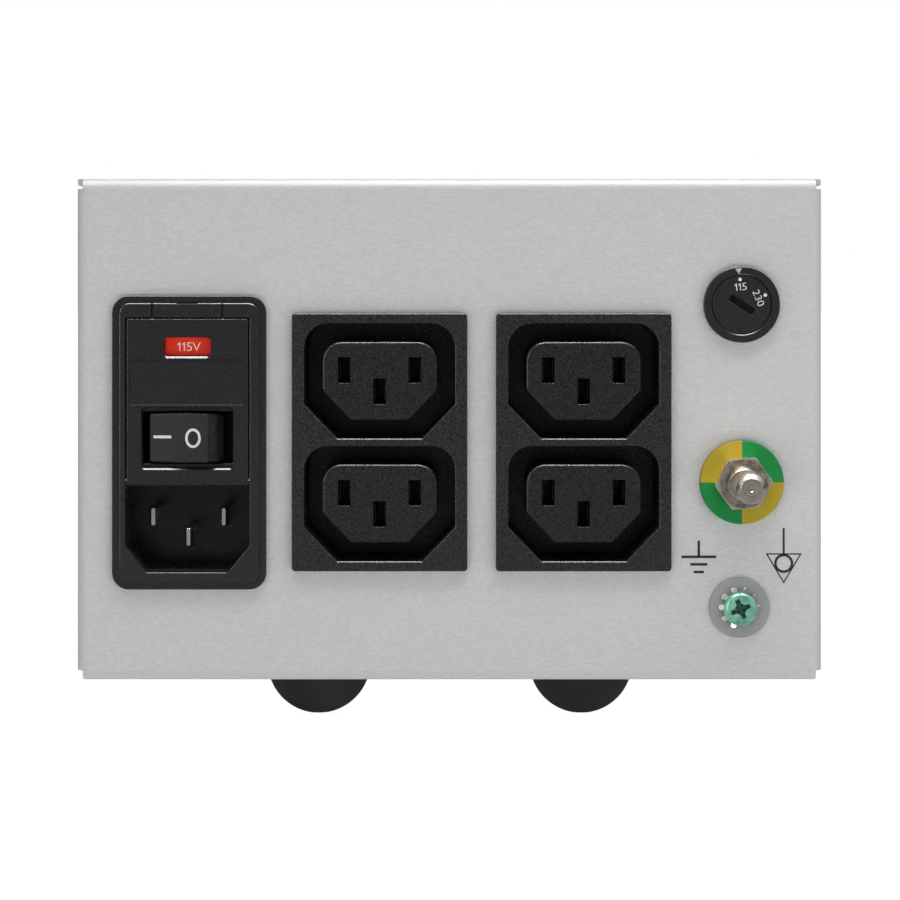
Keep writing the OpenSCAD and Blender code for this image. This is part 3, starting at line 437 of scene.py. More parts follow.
def mouldedPlastic(name, colour, rough=0.5, grain=2600, depth=0.03, fleck=0.2, inside=1.0, gloss=0.6):
    paint = Paint(name, {"Specular IOR Level": gloss})
    if fleck > 0.4:  # a coarse grit, each grain with a tone of its own
        grit = paint.node("ShaderNodeTexVoronoi", {}, {"Vector": paint.place, "Scale": grain}, "Color")
        spark = paint.node("ShaderNodeSeparateXYZ", {}, {0: grit}, "X")
    else:
        spark = paint.noise(grain)
    cloud = paint.noise(60)
    tone = paint.mix(paint.ramp(spark, 0.15, 0.85), shade(colour, 1 - fleck), shade(colour, 1 + 1.6 * fleck))
    tone = paint.mix(cloud * 0.3, tone, shade(colour, 1.12))
    if inside < 1:  # painted shade: darker past the front of the panel, where recesses and sockets lie in shade
        behind = (paint.along("Y") - panelFront) * 100
        tone = paint.mix(paint.ramp(behind, 0.0, 0.4), tone, shade(colour, inside))
    return paint.feed(Base_Color=tone, Roughness=rough - 0.08 + 0.16 * spark,
                      Normal=paint.bump(spark, 1.0, depth * mm))


def metal(name, colour, rough, grain=900, stretch=(1, 1, 1), depth=0.12, shine=1.0, mottle=0.1,
          recess=None, rings=None):
    paint = Paint(name, {"Metallic": shine})
    fine = paint.noise(grain, 3, 0.55, stretch)
    # mottle: random tone, partly real blotches and partly painted reflection bands on polished metal
    stainAndSheen = paint.noise(140 + 900 * mottle, 3)
    tone = paint.mix(paint.ramp(stainAndSheen, 0.3, 0.7), shade(colour, 1 - 1.4 * mottle), shade(colour, 1 + 0.6 * mottle))
    if rings:  # turning marks round a point of the panel, lighter on the pin inside one radius, with a painted highlight on the hex corners outside another
        spot, inner, outer = rings
        away = paint.awayFrom(spot)
        wave = paint.node("ShaderNodeMath", {"operation": "SINE"}, {0: away * 9000})  # a ring each 0.7 mm
        fine = fine + 0.15 * wave
        tone = paint.mix((away < inner * mm) * 0.7, tone, shade(colour, 1.3))
        # painted highlight on the chamfered hex corners
        tone = paint.mix(away > outer * mm, tone, shade(colour, 1.3))
        tone = paint.mix(paint.ramp(wave, -0.2, 1.0) * 0.2, tone, shade(colour, 0.45))
    if recess:  # painted shade in a driver recess: its middle, the height of its top and its reach in millimetres
        spot, out, reach = recess
        recessShade = (paint.along("Y") > panelFront - (out - 0.3) * mm) * (paint.awayFrom(spot) < reach * mm)
        tone = paint.mix(recessShade, tone, shade(colour, 0.28))
    return paint.feed(Base_Color=tone, Roughness=rough - 0.06 + 0.14 * fine + 0.05 * stainAndSheen,
                      Normal=paint.bump(fine, depth, 0.00005))


def rubber(name, colour):
    paint = Paint(name, {"Specular IOR Level": 0.4})
    fine = paint.noise(1800, 3)
    dust = paint.noise(90, 3)
    tone = paint.mix(paint.ramp(dust, 0.4, 0.8), shade(colour, 0.9), shade(colour, 1.6))
    return paint.feed(Base_Color=tone, Roughness=0.52 + 0.12 * dust, Normal=paint.bump(fine, 0.2, 0.00008))


def printedInk(name, colour):
    paint = Paint(name, {})
    fine = paint.noise(4000)
    return paint.feed(Base_Color=paint.mix(fine, shade(colour, 0.9), shade(colour, 1.08)), Roughness=0.42 + 0.1 * fine)


def quarteredPlastic(name, spot, yellow, green):  # two yellow and two green quarters round a point of the panel
    paint = Paint(name, {"Specular IOR Level": 0.2})
    split = paint.along("X") > spot.x
    level = paint.along("Z") > spot.z
    same = paint.node("ShaderNodeMath", {"operation": "COMPARE"}, {0: split, 1: level, 2: 0.1})
    fine = paint.noise(1800)
    tone = paint.mix(same, shade(yellow, 1), shade(green, 1))
    tone = paint.mix(fine * 0.05, tone, (0.1, 0.1, 0.05, 1))
    return paint.feed(Base_Color=tone, Roughness=0.36 + 0.12 * fine, Normal=paint.bump(fine, 0.1, 0.00005))


def copperWinding(name):
    paint = Paint(name, {"Specular IOR Level": 0.5})
    turns = paint.node("ShaderNodeTexWave", {"bands_direction": "Z"},
                       {"Vector": paint.place, "Scale": 260.0, "Distortion": 1.5, "Detail": 2.0})
    tone = paint.mix(turns, (0.42, 0.24, 0.06, 1), (0.72, 0.5, 0.16, 1))
    return paint.feed(Base_Color=tone, Roughness=0.3 + 0.2 * turns, Normal=paint.bump(turns, 0.4, 0.0004))


def fuseGlass(name):
    paint = Paint(name, {"Transmission Weight": 0.9, "IOR": 1.5})
    fine = paint.noise(500)
    tone = paint.mix(fine, (0.86, 0.9, 0.9, 1), (0.95, 0.97, 0.97, 1))
    return paint.feed(Base_Color=tone, Roughness=0.04 + 0.06 * fine)


# Materials: a colour and, for plastics, roughness, grain, its depth in millimetres and the fleck
casePaint = powderCoat("casePaint", (0.485, 0.485, 0.485))
# the inside= share is painted shade: past the front of the panel the colour falls to that share
housingPlastic = mouldedPlastic("housingPlastic", (0.014, 0.014, 0.016), 0.25, 3000, 0.002, 0.1, inside=0.15)
blockPlastic = mouldedPlastic("blockPlastic", (0.012, 0.012, 0.0135), 0.3, 4800, 0.008, 0.5, inside=0.1)
corePlastic = mouldedPlastic("corePlastic", (0.008, 0.0075, 0.0095), 0.3, 4800, 0.008, 0.5, inside=0.1)
doorPlastic = mouldedPlastic("doorPlastic", (0.012, 0.012, 0.0135), 0.27, 3000, 0.002, 0.1)
rockerPlastic = mouldedPlastic("rockerPlastic", (0.007, 0.007, 0.008), 0.25, 2600, 0.002, 0.1)
dialPlastic = mouldedPlastic("dialPlastic", (0.013, 0.013, 0.014), 0.3, 2200, 0.02)
flagPlastic = mouldedPlastic("flagPlastic", (0.84, 0.03, 0.01), 0.45, 1500, 0.001, 0.03, gloss=0.2)
washerGrey = mouldedPlastic("washerGrey", (0.25, 0.26, 0.27), 0.5, 3000, 0.006, 0.08)
# painted shade: near-black for the floor of the dial's slot
paintedSlotShade = mouldedPlastic("paintedSlotShade", (0.002, 0.002, 0.002), 0.2, 2000, 0.01)
cutoutPlastic = mouldedPlastic("cutoutPlastic", (0.05, 0.05, 0.052), 0.4, 2000, 0.01)
drawn = (1, 4, 1)  # stretch of the grain on drawn or turned metal
zincPlate = metal("zincPlate", (0.62, 0.63, 0.62), 0.46, depth=0.06, shine=0.55)
brightNickel = metal("brightNickel", (0.80, 0.74, 0.66), 0.26, 300, drawn, 0.4)
pinNickel = metal("pinNickel", (0.95, 0.90, 0.82), 0.18, 500, drawn, 0.03)
# painted shade: the outlet contacts are coloured dark because they lie deep in the slots
shadedSlotMetal = metal("shadedSlotMetal", (0.06, 0.055, 0.05), 0.35)
tinnedBrass = metal("tinnedBrass", (0.74, 0.62, 0.38), 0.34)
coreSteel = metal("coreSteel", (0.30, 0.31, 0.32), 0.5, 1200)
feetRubber = rubber("feetRubber", (0.021, 0.021, 0.022))
padRubber = rubber("padRubber", (0.030, 0.030, 0.031))
whiteInk = printedInk("whiteInk", (0.62, 0.63, 0.63))
blackInk = printedInk("blackInk", (0.018, 0.018, 0.02))
flagInk = printedInk("flagInk", (0.85, 0.82, 0.80))
paleBlueInk = printedInk("paleBlueInk", (0.30, 0.42, 0.48))
print("materials ready")

# Case

for name, node in (("caseShell", "outer_shell"), ("baseTray", "base_tray")):
    refine(name, node, 0.16, "case", "grey_paint", casePaint)
print("case ready")

# Feet

footSizes = {"width": 21.4, "flat": 5.0, "height": 11.3, "rim": 0.5}


def makeFoot(node):
    s = SimpleNamespace(**footSizes)
    radius = s.width / 2
    ball = math.sqrt(radius ** 2 - (s.flat / 2) ** 2)
    start = math.asin(s.flat / 2 / radius)
    turns = [start + (math.pi / 2 - start) * k / 18 for k in range(19)]
    profile = [(0, 0)] + [(radius * math.sin(t), ball - radius * math.cos(t)) for t in turns]
    foot = lathe(node + "Rubber", profile + edge(radius, s.height, s.rim) + [(0, s.height)])
    spot = middleOf(node)
    ground = Matrix.Translation((spot.x, spot.y, 0)) @ Matrix.Scale(mm, 4)
    settle(foot, ground, "case", "black_rubber", feetRubber, [node], 25)


for node in ("foot_front_left", "foot_front_right", "foot_rear_left", "foot_rear_right"):
    makeFoot(node)
print("feet ready")

# Entry module

entrySizes = {"width": 30.5, "height": 58.1, "corner": 3.3, "rim": 1.4, "rimTop": 1.6, "face": 2.5,
              "bodyWidth": 27.0, "bodyHeight": 54.6, "bodyDepth": 34.0, "pocketFloor": 0.2, "pocketTop": 24.85,
              "innerX": -0.3, "innerWidth": 24.6, "inletDepth": 14.5, "inletMiddle": -17.1, "inletHeight": 17.0,
              "cutWide": 4.3, "cutHigh": 5.3, "soft": 0.8, "ledge": 0.4, "hingeUp": -7.7, "hingeOut": 1.4,
              "hingeRadius": 0.66, "hingeReach": 13.2,
              "holes": (  # width, height, corner, right, up, from and to
                  (22.5, 15.4, 0.3, 0.0, 16.35, -31.1, 1.0),  # drawer
                  (19.7, 13.6, 0.2, 0.0, 1.0, -35.0, 1.0),  # switch
                  (4.2, 0.4, 0.1, 0.0, 27.72, 1.2, 3.0),  # screwdriver slot of the latch
                  (0.35, 2.9, 0.1, -6.95, 26.25, 1.2, 3.0),  # slits beside the latch
                  (0.35, 2.9, 0.1, 6.95, 26.25, 1.2, 3.0))}
inletPinSizes = {"places": ((-7, -14.8), (7, -14.8), (0, -18.8)), "blade": (2, 4, 0.5), "slope": (0.9, 3.5, 0.3),
                 "tip": (0.7, 3.3, 0.25), "tab": (0.8, 4, 0.1), "tabEnd": -43.0, "back": -34.0, "shoulder": -2.2,
                 "slopeEnd": -0.6, "end": -0.5}
entrySpot = middleOf("inlet_housing")
innerSpot = entrySpot + Vector((entrySizes["innerX"] * mm, 0, 0))


def onHinge(x):  # the axis of the door's hinge, to the right
    s = SimpleNamespace(**entrySizes)
    return Matrix.Translation((x, s.hingeUp, s.hingeOut)) @ Matrix.Rotation(math.pi / 2, 4, "Y")


def makeEntryHousing():
    s = SimpleNamespace(**entrySizes)
    x = s.innerX
    outer = rectangle(s.width, s.height, s.corner)
    body = rectangle(s.bodyWidth, s.bodyHeight, 1)
    inner = spread(outer, -s.rim)
    housing = loft("entryHousing", [(body, -s.bodyDepth), (body, 0), (outer, 0),
                                    *roundOver(outer, s.rimTop, 0.12, 0.12, -1, 3), (inner, s.rimTop),
                                    *roundOver(inner, s.face, 0.55, 0.32, -1, 5)])
    half = s.innerWidth / 2
    low = s.inletMiddle - s.inletHeight / 2
    soft = s.soft
    pocket = roundCorners([(x - half + s.cutWide, low, soft), (x + half - s.cutWide, low, soft),
                           (x + half, low + s.cutHigh, soft), (x + half, s.pocketTop, soft / 2),
                           (x - half, s.pocketTop, soft / 2), (x - half, low + s.cutHigh, soft)])
    inlet = socketShape(s.innerWidth, s.inletHeight, soft, s.cutWide, s.cutHigh, soft, s.inletMiddle)
    inlet = [Vector((p.x + x, p.y)) for p in inlet]
    ledge = [Vector((p.x, max(p.y, low + s.ledge))) for p in spread(inlet, -0.02)]
    cutters = [mouth([(pocket, s.pocketFloor)], s.face, 0.32, 0.2),
               loft("inlet", [(ledge, -s.inletDepth), (ledge, 0.6), (spread(ledge, 0.02), 0.9)])]
    for width, height, corner, right, up, start, end in s.holes:
        cutters.append(prism(rectangle(width, height, corner, x + right, up), start, end))
    cutters.append(place(rod("hinge", s.hingeRadius, -s.hingeReach, s.hingeReach, 24), onHinge(x)))
    settle(carve(housing, cutters), onPanel(entrySpot), "case", "black_plastic", housingPlastic, ["inlet_housing"])


def makeInletPins():
    s = SimpleNamespace(**inletPinSizes)
    pieces = []
    for spot in s.places:
        blade, slope, tip, tab = [rectangle(*shape, *spot) for shape in (s.blade, s.slope, s.tip, s.tab)]
        pieces.append(loft("blade", [(blade, s.back), (blade, s.shoulder), (slope, s.slopeEnd), (tip, s.end)]))
        pieces.append(prism(tab, s.tabEnd, s.back))
    settle(together("inletPins", pieces), onPanel(innerSpot), "case", "nickel", pinNickel, ["inlet_pins"])


makeEntryHousing()
makeInletPins()
print("entry module ready")

# Door, fuse drawer and switch

doorSizes = {"width": 24.1, "top": 24.6, "back": 0.5, "face": 2.3, "windowUp": 19.0, "windowWidth": 9.25,
             "windowHeight": 3.75, "windowEdge": 2.05, "labelUp": 12.0, "labelWidth": 22.7, "labelHeight": 8.85,
             "labelDepth": 0.2, "openingUp": 1.0, "openingWidth": 17.9, "openingHeight": 12.0, "openingEdge": 2.0,
             "rollRadius": 0.9, "rollReach": 12.05, "axleRadius": 0.6, "axleReach": 12.95, "lip": 0.42}


def makeDoor():
    s = SimpleNamespace(**doorSizes)
    hingeUp = entrySizes["hingeUp"]
    plate = rectangle(s.width, s.top - hingeUp, 0.35, 0, (s.top + hingeUp) / 2)
    door = loft("fuseDoor", [(plate, s.back), *roundOver(plate, s.face, 0.3, 0.3)])
    end = [(0, s.axleReach), (s.axleRadius, s.axleReach), (s.axleRadius, s.rollReach), (s.rollRadius, s.rollReach)]
    roll = lathe("roll", [(radius, -reach) for radius, reach in end] + end[::-1], 32)
    carve(door, [place(roll, onHinge(0))], "UNION")
    window = rectangle(s.windowWidth, s.windowHeight, 0.8, 0, s.windowUp)
    sill = rectangle(s.windowWidth + 0.2, s.windowHeight + s.lip, 0.9, 0, s.windowUp - 0.18)
    opening = rectangle(s.openingWidth, s.openingHeight, 0.6, 0, s.openingUp)
    lip = rectangle(s.openingWidth + 0.4, s.openingHeight + s.lip, 0.75, 0, s.openingUp - 0.1)
    label = rectangle(s.labelWidth, s.labelHeight, 0.3, 0, s.labelUp)
    above = s.face + 0.01
    cutters = [loft("window", [(window, -1), (window, s.windowEdge), (sill, above), (sill, 4)]),
               loft("opening", [(opening, -1), (opening, s.openingEdge), (lip, above), (lip, 4)]),
               loft("label", [(label, s.face - s.labelDepth), (spread(label, 0.08), s.face - 0.05),
                              (spread(label, 0.12), 4)])]
    settle(carve(door, cutters), onPanel(innerSpot), "fuse_door", "door_plastic", doorPlastic, ["fuse_door"])


makeDoor()
refine("fuseDrawer", "fuse_drawer", 0.12, "fuse_drawer", "door_plastic", doorPlastic)
refine("switchBody", "switch_body", 0.12, "case", "black_plastic", housingPlastic)

flaggedOne = ((0.35, 0), (0.35, 1), (0.26, 1), (0.02, 0.8), (0.02, 0.66), (0.22, 0.78), (0.22, 0))


def letter(sign, thick):  # one sign, a unit high and standing on the base line
    if sign == "1":  # the built-in font's one has no flag
        return prism([Vector(p) for p in flaggedOne], -thick / 2, thick / 2, "one")
    curve = bpy.data.curves.new(sign, "FONT")
    curve.body = sign
    curve.extrude = thick / 2
    curve.offset = -0.008  # a little thinner than drawn
    curve.resolution_u = 5
    source = newPiece(sign, curve)
    mesh = plainMesh(source)
    bpy.data.objects.remove(source)
    low = min(v.co.y for v in mesh.vertices)
    high = max(v.co.y for v in mesh.vertices)
    mesh.transform(Matrix.Diagonal((1.1 / (high - low), 1 / (high - low), 1, 1)) @ Matrix.Translation((0, -low, 0)))
    return newPiece(sign, mesh)


def writing(name, text, height, where, spot, material, body, slot, turn=0.0, thick=0.02):
    pieces = []
    reach = 0
    gap = 0.2
    for sign in text:
        piece = letter(sign, thick / height)
        reach -= 0.12 if sign == "V" else 0  # tucks the V under its neighbour
        left = min(v.co.x for v in piece.data.vertices)
        right = max(v.co.x for v in piece.data.vertices)
        piece.data.transform(Matrix.Translation((reach - left, -0.5, 0)))
        reach += right - left + gap
        pieces.append(piece)
    letters = together(name, pieces)
    letters.data.transform(Matrix.Translation(((gap - reach) / 2, 0, 0)))
    spin = Matrix.Translation(where) @ Matrix.Rotation(math.radians(turn), 4, "Z") @ Matrix.Scale(height, 4)
    fit(place(letters, onPanel(spot) @ spin), body, slot, material)


writing("flagText", "115V", 1.7, (0.2, 19.0, 0.21), innerSpot, flagInk, "fuse_drawer", "red_plastic")

rockerSizes = {"reach": 7.7, "face": 5.9, "end": 8.1, "drop": 3.8, "root": 1.5, "rootHalf": 6.5, "height": 9.9,
               "waist": 0.3, "corner": 1.0, "tilt": -12.0, "pivot": 1.2, "pivotEnd": 6.25, "axisBack": 5.0, "up": 1.0,
               "dash": (3.7, 0.55, 0.08, -3.42, 0.2), "ring": (2.88, 0, 1.6, 1.92, 40), "ringLine": 0.5}


def rockerFrame():
    s = SimpleNamespace(**rockerSizes)
    turn = Matrix.Rotation(math.radians(s.tilt), 4, "Y")
    return onPanel(innerSpot) @ Matrix.Translation((0, s.up, -s.axisBack)) @ turn


def rockerHalfHeight(x):
    s = SimpleNamespace(**rockerSizes)
    inside = min(abs(x), s.end)
    corner = max(inside - s.end + s.corner, 0) / s.corner
    return s.height / 2 - s.waist * (inside / s.end) ** 2 - s.corner * (1 - math.sqrt(1 - corner ** 2))


def makeRocker():
    s = SimpleNamespace(**rockerSizes)
    top = s.reach - s.drop
    right = [s.face * k / 6 for k in range(7)] + [s.end - s.corner * k for k in (1, 0.7, 0.4, 0.2, 0.05, 0)]
    rings = []
    for x in sorted({round(x, 4) for x in right + [-x for x in right]}):
        beyond = max(abs(x) - s.face, 0) / (s.end - s.face)
        high = s.reach - s.drop * beyond
        low = -s.root if abs(x) < s.rootHalf else top - 0.3
        half = rockerHalfHeight(x)
        side = [(half - 0.35, high), (half - 0.1, high - 0.1), (half, high - 0.35), (half, low)]
        rings.append([(x, -y, z) for y, z in side] + [(x, y, z) for y, z in reversed(side)])
    rocker = soften(skin("rocker", rings), 0.28, 3, 40)
    pivot = place(rod("pivot", s.pivot, -s.pivotEnd, s.pivotEnd, 32), Matrix.Rotation(math.pi / 2, 4, "X"))
    carve(rocker, [pivot], "UNION")
    settle(rocker, rockerFrame(), "rocker", "door_plastic", rockerPlastic, ["rocker"], 38)


def makeRockerMarks():
    s = SimpleNamespace(**rockerSizes)
    low, high = s.reach - 0.05, s.reach + 0.02
    outer = oval(*s.ring)
    line = prism(rectangle(*s.dash), low, high)
    ring = carve(prism(outer, low, high), [prism(spread(outer, -s.ringLine), s.reach - 1, s.reach + 1)])
    settle(together("rockerMarks", [line, ring]), rockerFrame(), "rocker", "door_plastic", whiteInk)


makeRocker()
makeRockerMarks()
print("door and switch ready")

# Outlets

outletSizes = {"faceWidth": 34.75, "faceHeight": 51.0, "corner": 0.7, "face": 2.0, "bodyWidth": 31.6,
               "bodyHeight": 48.2, "depth": 18.0, "pitch": 24.3, "recess": (29.8, 22.8, 4.7, 6.5, 6.75),
               "core": (22.8, 15.5, 3.7, 5.6, 5.9), "coreFace": 1.0, "slotWidth": 2.5, "slotHeight": 5.1,
               "slots": ((-7.0, 2.1), (7.0, 2.1), (0, -2.1)), "slotDepth": 14.0, "flange": 2.0, "rim": 0.6}


def makeOutletBlock(node):
    s = SimpleNamespace(**outletSizes)
    body = rectangle(s.bodyWidth, s.bodyHeight, s.corner)
    plate = rectangle(s.faceWidth, s.faceHeight, s.corner)
    block = loft(node + "Frame", [(body, -s.depth), (body, 0), (plate, 0), *roundOver(plate, s.face, 0.2, 0.2)])
    cutters = []
    for end in (-1, 1):
        recess = socketShape(*s.recess, 0.8, end * s.pitch / 2)
        cutters.append(mouth([(recess, -s.depth - 1), (recess, 0)], s.face, 0.5, 0.36))
    settle(carve(block, cutters), onPanel(middleOf(node)), "case", "black_plastic", blockPlastic, [node])


def makeOutletCore(node):
    s = SimpleNamespace(**outletSizes)
    recess = socketShape(*s.recess, 0.8)
    island = socketShape(*s.core, 1.0)
    inside = spread(recess, -0.1)
    rim = spread(recess, s.rim)
    back = -s.depth
    flange = back + s.flange
    core = loft(node + "Core", [(rim, back - 2), (rim, back), (inside, back), (inside, flange), (island, flange),
                                *roundOver(island, s.coreFace, 0.7, 0.5, -1, 6)])
    cutters = []
    for spot in s.slots:
        slot = rectangle(s.slotWidth, s.slotHeight, 0.25, *spot)
        cutters.append(mouth([(slot, s.coreFace - s.slotDepth)], s.coreFace, 0.06, 0.06))
    settle(carve(core, cutters), onPanel(middleOf(node)), "case", "black_plastic", corePlastic, [node])


for side in ("left", "right"):
    makeOutletBlock("outlet_block_" + side)
for corner in ("left_upper", "left_lower", "right_upper", "right_lower"):
    makeOutletCore("outlet_core_" + corner)
print("outlets ready")

# Voltage selector

selectorSizes = {"collar": 7.55, "collarFace": 1.8, "barrel": 6.0, "barrelLength": 20.0, "well": 5.95,
                 "wellFloor": 0.44, "dial": 5.8, "dialFace": 1.6, "dialBack": 0.5, "shaft": 2.0, "shaftLength": 13.0,
                 "boreGap": 0.06, "boreEnd": 13.25, "slotLength": 5.6, "slotWidth": 1.45, "slotFloor": 0.62,
                 "slotTurn": -33.7, "dotOut": 5.0, "dotRadius": 0.35, "textOut": 3.55, "textHeight": 1.4, "ink": 0.02,
                 "arrow": ((0.65, 7.2), (-0.65, 7.2), (0.0, 6.1)), "arrowTurn": 5.4}
selectorSpot = middleOf("selector_body")


def makeSelector():
    s = SimpleNamespace(**selectorSizes)
    bore = s.shaft + s.boreGap
    profile = [(0, -s.barrelLength), (s.barrel, -s.barrelLength), (s.barrel, 0), (s.collar, 0),
               *edge(s.collar, s.collarFace, 0.2), (s.well + 0.15, s.collarFace), (s.well, s.collarFace - 0.15),
               (s.well, s.wellFloor), (bore, s.wellFloor), (bore, -s.boreEnd), (0, -s.boreEnd)]
    collar = lathe("selectorCollar", profile)
    settle(collar, onPanel(selectorSpot), "case", "grey_plastic", dialPlastic, ["selector_body"])
    profile = [(0, -s.shaftLength), (s.shaft, -s.shaftLength), (s.shaft, s.dialBack), (s.dial, s.dialBack),
               *edge(s.dial, s.dialFace, 0.15, 3), (0, s.dialFace)]
    dial = lathe("selectorDial", profile)
    groove = turned(rectangle(s.slotLength, s.slotWidth, 0.2), s.slotTurn)
    carve(dial, [mouth([(groove, s.slotFloor)], s.dialFace, 0.12, 0.12)])
    settle(dial, onPanel(selectorSpot), "selector_dial", "grey_plastic", dialPlastic, ["selector_dial"])
    # a near-black sheet on the groove floor: painted shade in the dial's slot
    dark = prism(spread(groove, -0.03), s.slotFloor, s.slotFloor + 0.04, "slotFloor")
    fit(place(dark, onPanel(selectorSpot)), "selector_dial", "grey_plastic", paintedSlotShade)


def onDial(radius, degrees):  # clockwise from the top
    return radius * math.sin(math.radians(degrees)), radius * math.cos(math.radians(degrees))


def makeDialMarks():
    s = SimpleNamespace(**selectorSizes)
    face = s.dialFace
    for name, text, degrees in (("dialLowText", "115", -4.0), ("dialHighText", "230", 68.0)):
        dot = rod(name + "Dot", s.dotRadius, face, face + s.ink, 24)
        place(dot, onPanel(selectorSpot) @ Matrix.Translation((*onDial(s.dotOut, degrees), 0)))
        fit(dot, "selector_dial", "grey_plastic", whiteInk)
        writing(name, text, s.textHeight, (*onDial(s.textOut, degrees), face + s.ink / 2), selectorSpot,
                whiteInk, "selector_dial", "grey_plastic", -degrees)
    arrow = turned([Vector(p) for p in s.arrow], s.arrowTurn)
    mark = prism(arrow, s.collarFace, s.collarFace + s.ink, "dialArrow")
    fit(place(mark, onPanel(selectorSpot)), "case", "grey_plastic", paleBlueInk)


makeSelector()
makeDialMarks()
print("selector ready")

# Potential pin

pinSizes = {"radius": 3.0, "length": 22.0, "stud": 14.0, "disc": 8.3, "discHeight": 2.0, "hexAcross": 9.8,
            "hexTop": 6.5, "hexTurn": 5.0, "hexCorner": 0.25, "chamfer": 0.675, "grooveLow": 7.5, "grooveHigh": 9.0,
            "grooveRadius": 2.6, "tip": ((0.0, 1.4), (0.08, 0.85), (0.28, 0.5), (0.55, 0.2), (0.9, 0.0)),
            "centreMark": ((0.45, 0.0), (0.3, 0.15), (0.0, 0.2))}
pinSpot = middleOf("potential_disc")


def makePotentialPin():
    s = SimpleNamespace(**pinSizes)
    r = s.radius
    end = [(r - inward, s.length - back) for inward, back in s.tip]
    end += [(radius, s.length - back) for radius, back in s.centreMark]
    profile = [(0, -s.stud), (r - 0.4, -s.stud), (r, 0.4 - s.stud), (r, s.grooveLow - 0.15), (r - 0.15, s.grooveLow),
               (s.grooveRadius, s.grooveLow + 0.2), (s.grooveRadius, s.grooveHigh - 0.2), (r - 0.15, s.grooveHigh),
               (r, s.grooveHigh + 0.15), *end]
    pin = lathe("potentialPin", profile, 64)
    corner = s.hexAcross / 2 / math.cos(math.radians(30))
    six = [(corner * math.cos(t * math.pi / 3), corner * math.sin(t * math.pi / 3), s.hexCorner) for t in range(6)]
    nut = prism(turned(roundCorners(six), s.hexTurn), s.discHeight, s.hexTop, "hexagon")
    rim = s.hexAcross / 2 - 0.15
    above = s.hexTop + 0.02
    dome = lathe("dome", [(0, s.discHeight - 1), (corner + 1, s.discHeight - 1), (corner + 1, s.hexTop - s.chamfer),
                          (rim, above), (0, above)])
    carve(pin, [carve(nut, [dome], "INTERSECT")], "UNION")
    # mottle paints reflection bands on the nickel; rings adds turning marks, a lighter pin end and a painted highlight
    # on the hex corners
    turnedNickel = metal("turnedNickel", (0.74, 0.67, 0.58), 0.2, 300, drawn, 0.4, mottle=0.5,
                         rings=(pinSpot, r + 0.2, rim + 0.01))
    settle(pin, onPanel(pinSpot), "case", "nickel", turnedNickel, ["potential_pin"], 24)
    disc = lathe("potentialDisc", [(0, 0), (s.disc, 0), *edge(s.disc, s.discHeight, 0.3, 3), (0, s.discHeight)])
    quarters = quarteredPlastic("quarteredPlastic", pinSpot, (0.36, 0.27, 0.012), (0.001, 0.20, 0.04))
    settle(disc, onPanel(pinSpot), "case", "green_yellow", quarters, ["potential_disc"])


makePotentialPin()
print("potential pin ready")

# Earth screw

earthSizes = {"disc": 6.0, "discHeight": 0.7, "hub": 3.1, "starRadius": 4.2, "starHeight": 0.5, "starMiddle": 1.251,
              "toothLength": 1.15, "toothWidth": 1.3, "toothCorner": 0.5, "toothTwist": 25.0, "teeth": 10,
              "seat": 1.802, "head": 3.3, "headHeight": 2.2, "round": 0.95, "shank": 2.0, "length": 12.0,
              "recessLength": 4.2, "recessWidth": 0.95, "recessDepth": 1.6, "recessTaper": 0.55, "recessTurn": 22.0,
              "recessReach": 2.2, "point": ((0.0, 2.1), (0.5, 1.8), (1.15, 0.1), (1.15, -1.0), (0.0, -1.0))}
earthSpot = middleOf("earth_disc")


def crossCutters(s, top, turn):  # the arms of a cross recess
    cutters = []
    for quarter in (0, 90):
        arm = turned(rectangle(s.recessLength, s.recessWidth, 0.08), turn + quarter)
        foot = turned(rectangle(s.recessLength * s.recessTaper, s.recessWidth * 0.8, 0.08), turn + quarter)
        cutters.append(loft("arm", [(foot, top - s.recessDepth), (arm, top), (arm, top + 1)]))
    return cutters


def makeEarthScrew():
    s = SimpleNamespace(**earthSizes)
    disc = lathe("earthDisc", [(0, 0), (s.disc, 0), *edge(s.disc, s.discHeight, 0.15, 3), (0, s.discHeight)])
    settle(disc, onPanel(earthSpot), "case", "zinc", washerGrey, ["earth_disc"])
    half = s.starHeight / 2
    star = rod("starWasher", s.hub, -half, half)
    side = rectangle(s.toothLength, s.toothWidth, s.toothCorner)
    slim = spread(side, -0.1)
    tooth = loft("tooth", [(slim, -half), (side, 0.1 - half), (side, half - 0.1), (slim, half)])
    tooth.data.transform(Matrix.Rotation(math.radians(s.toothTwist), 4, "X"))
    tree = copyTree("starTeeth", [("Count", "Int"), ("Radius", "Float")], inRing)
    grow(star, tree, {"Piece": tooth, "Count": s.teeth, "Finish": brightNickel,
                      "Radius": s.starRadius - s.toothLength / 2})
    bpy.data.objects.remove(tooth)
    ahead = Matrix.Translation((0, 0, s.starMiddle))
    settle(star, onPanel(earthSpot) @ ahead, "case", "zinc", brightNickel, ["star_washer"])
    seat = s.seat
    top = seat + s.headHeight
    end = seat - s.length
    profile = [(0, end), (s.shank - 0.4, end), (s.shank, seat + 0.4 - s.length), (s.shank, seat),
               (s.head - 0.1, seat), (s.head, seat + 0.1), *edge(s.head, top, s.round, 7), (0, top)]
    screw = lathe("earthScrew", profile)
    point = lathe("point", [(radius, top - deep) for radius, deep in s.point], 24)
    carve(screw, [point] + crossCutters(s, top, s.recessTurn))
    # recess paints shade into the cross; mottle paints a reflection band on the green head
    greenZinc = metal("greenZinc", (0.30, 0.72, 0.54), 0.26, 500, depth=0.03, shine=0.6, mottle=0.35,
                      recess=(earthSpot, top, s.recessReach))
    settle(screw, onPanel(earthSpot), "case", "zinc", greenZinc, ["earth_screw"])


makeEarthScrew()
print("earth screw ready")

# Symbols printed on the panel

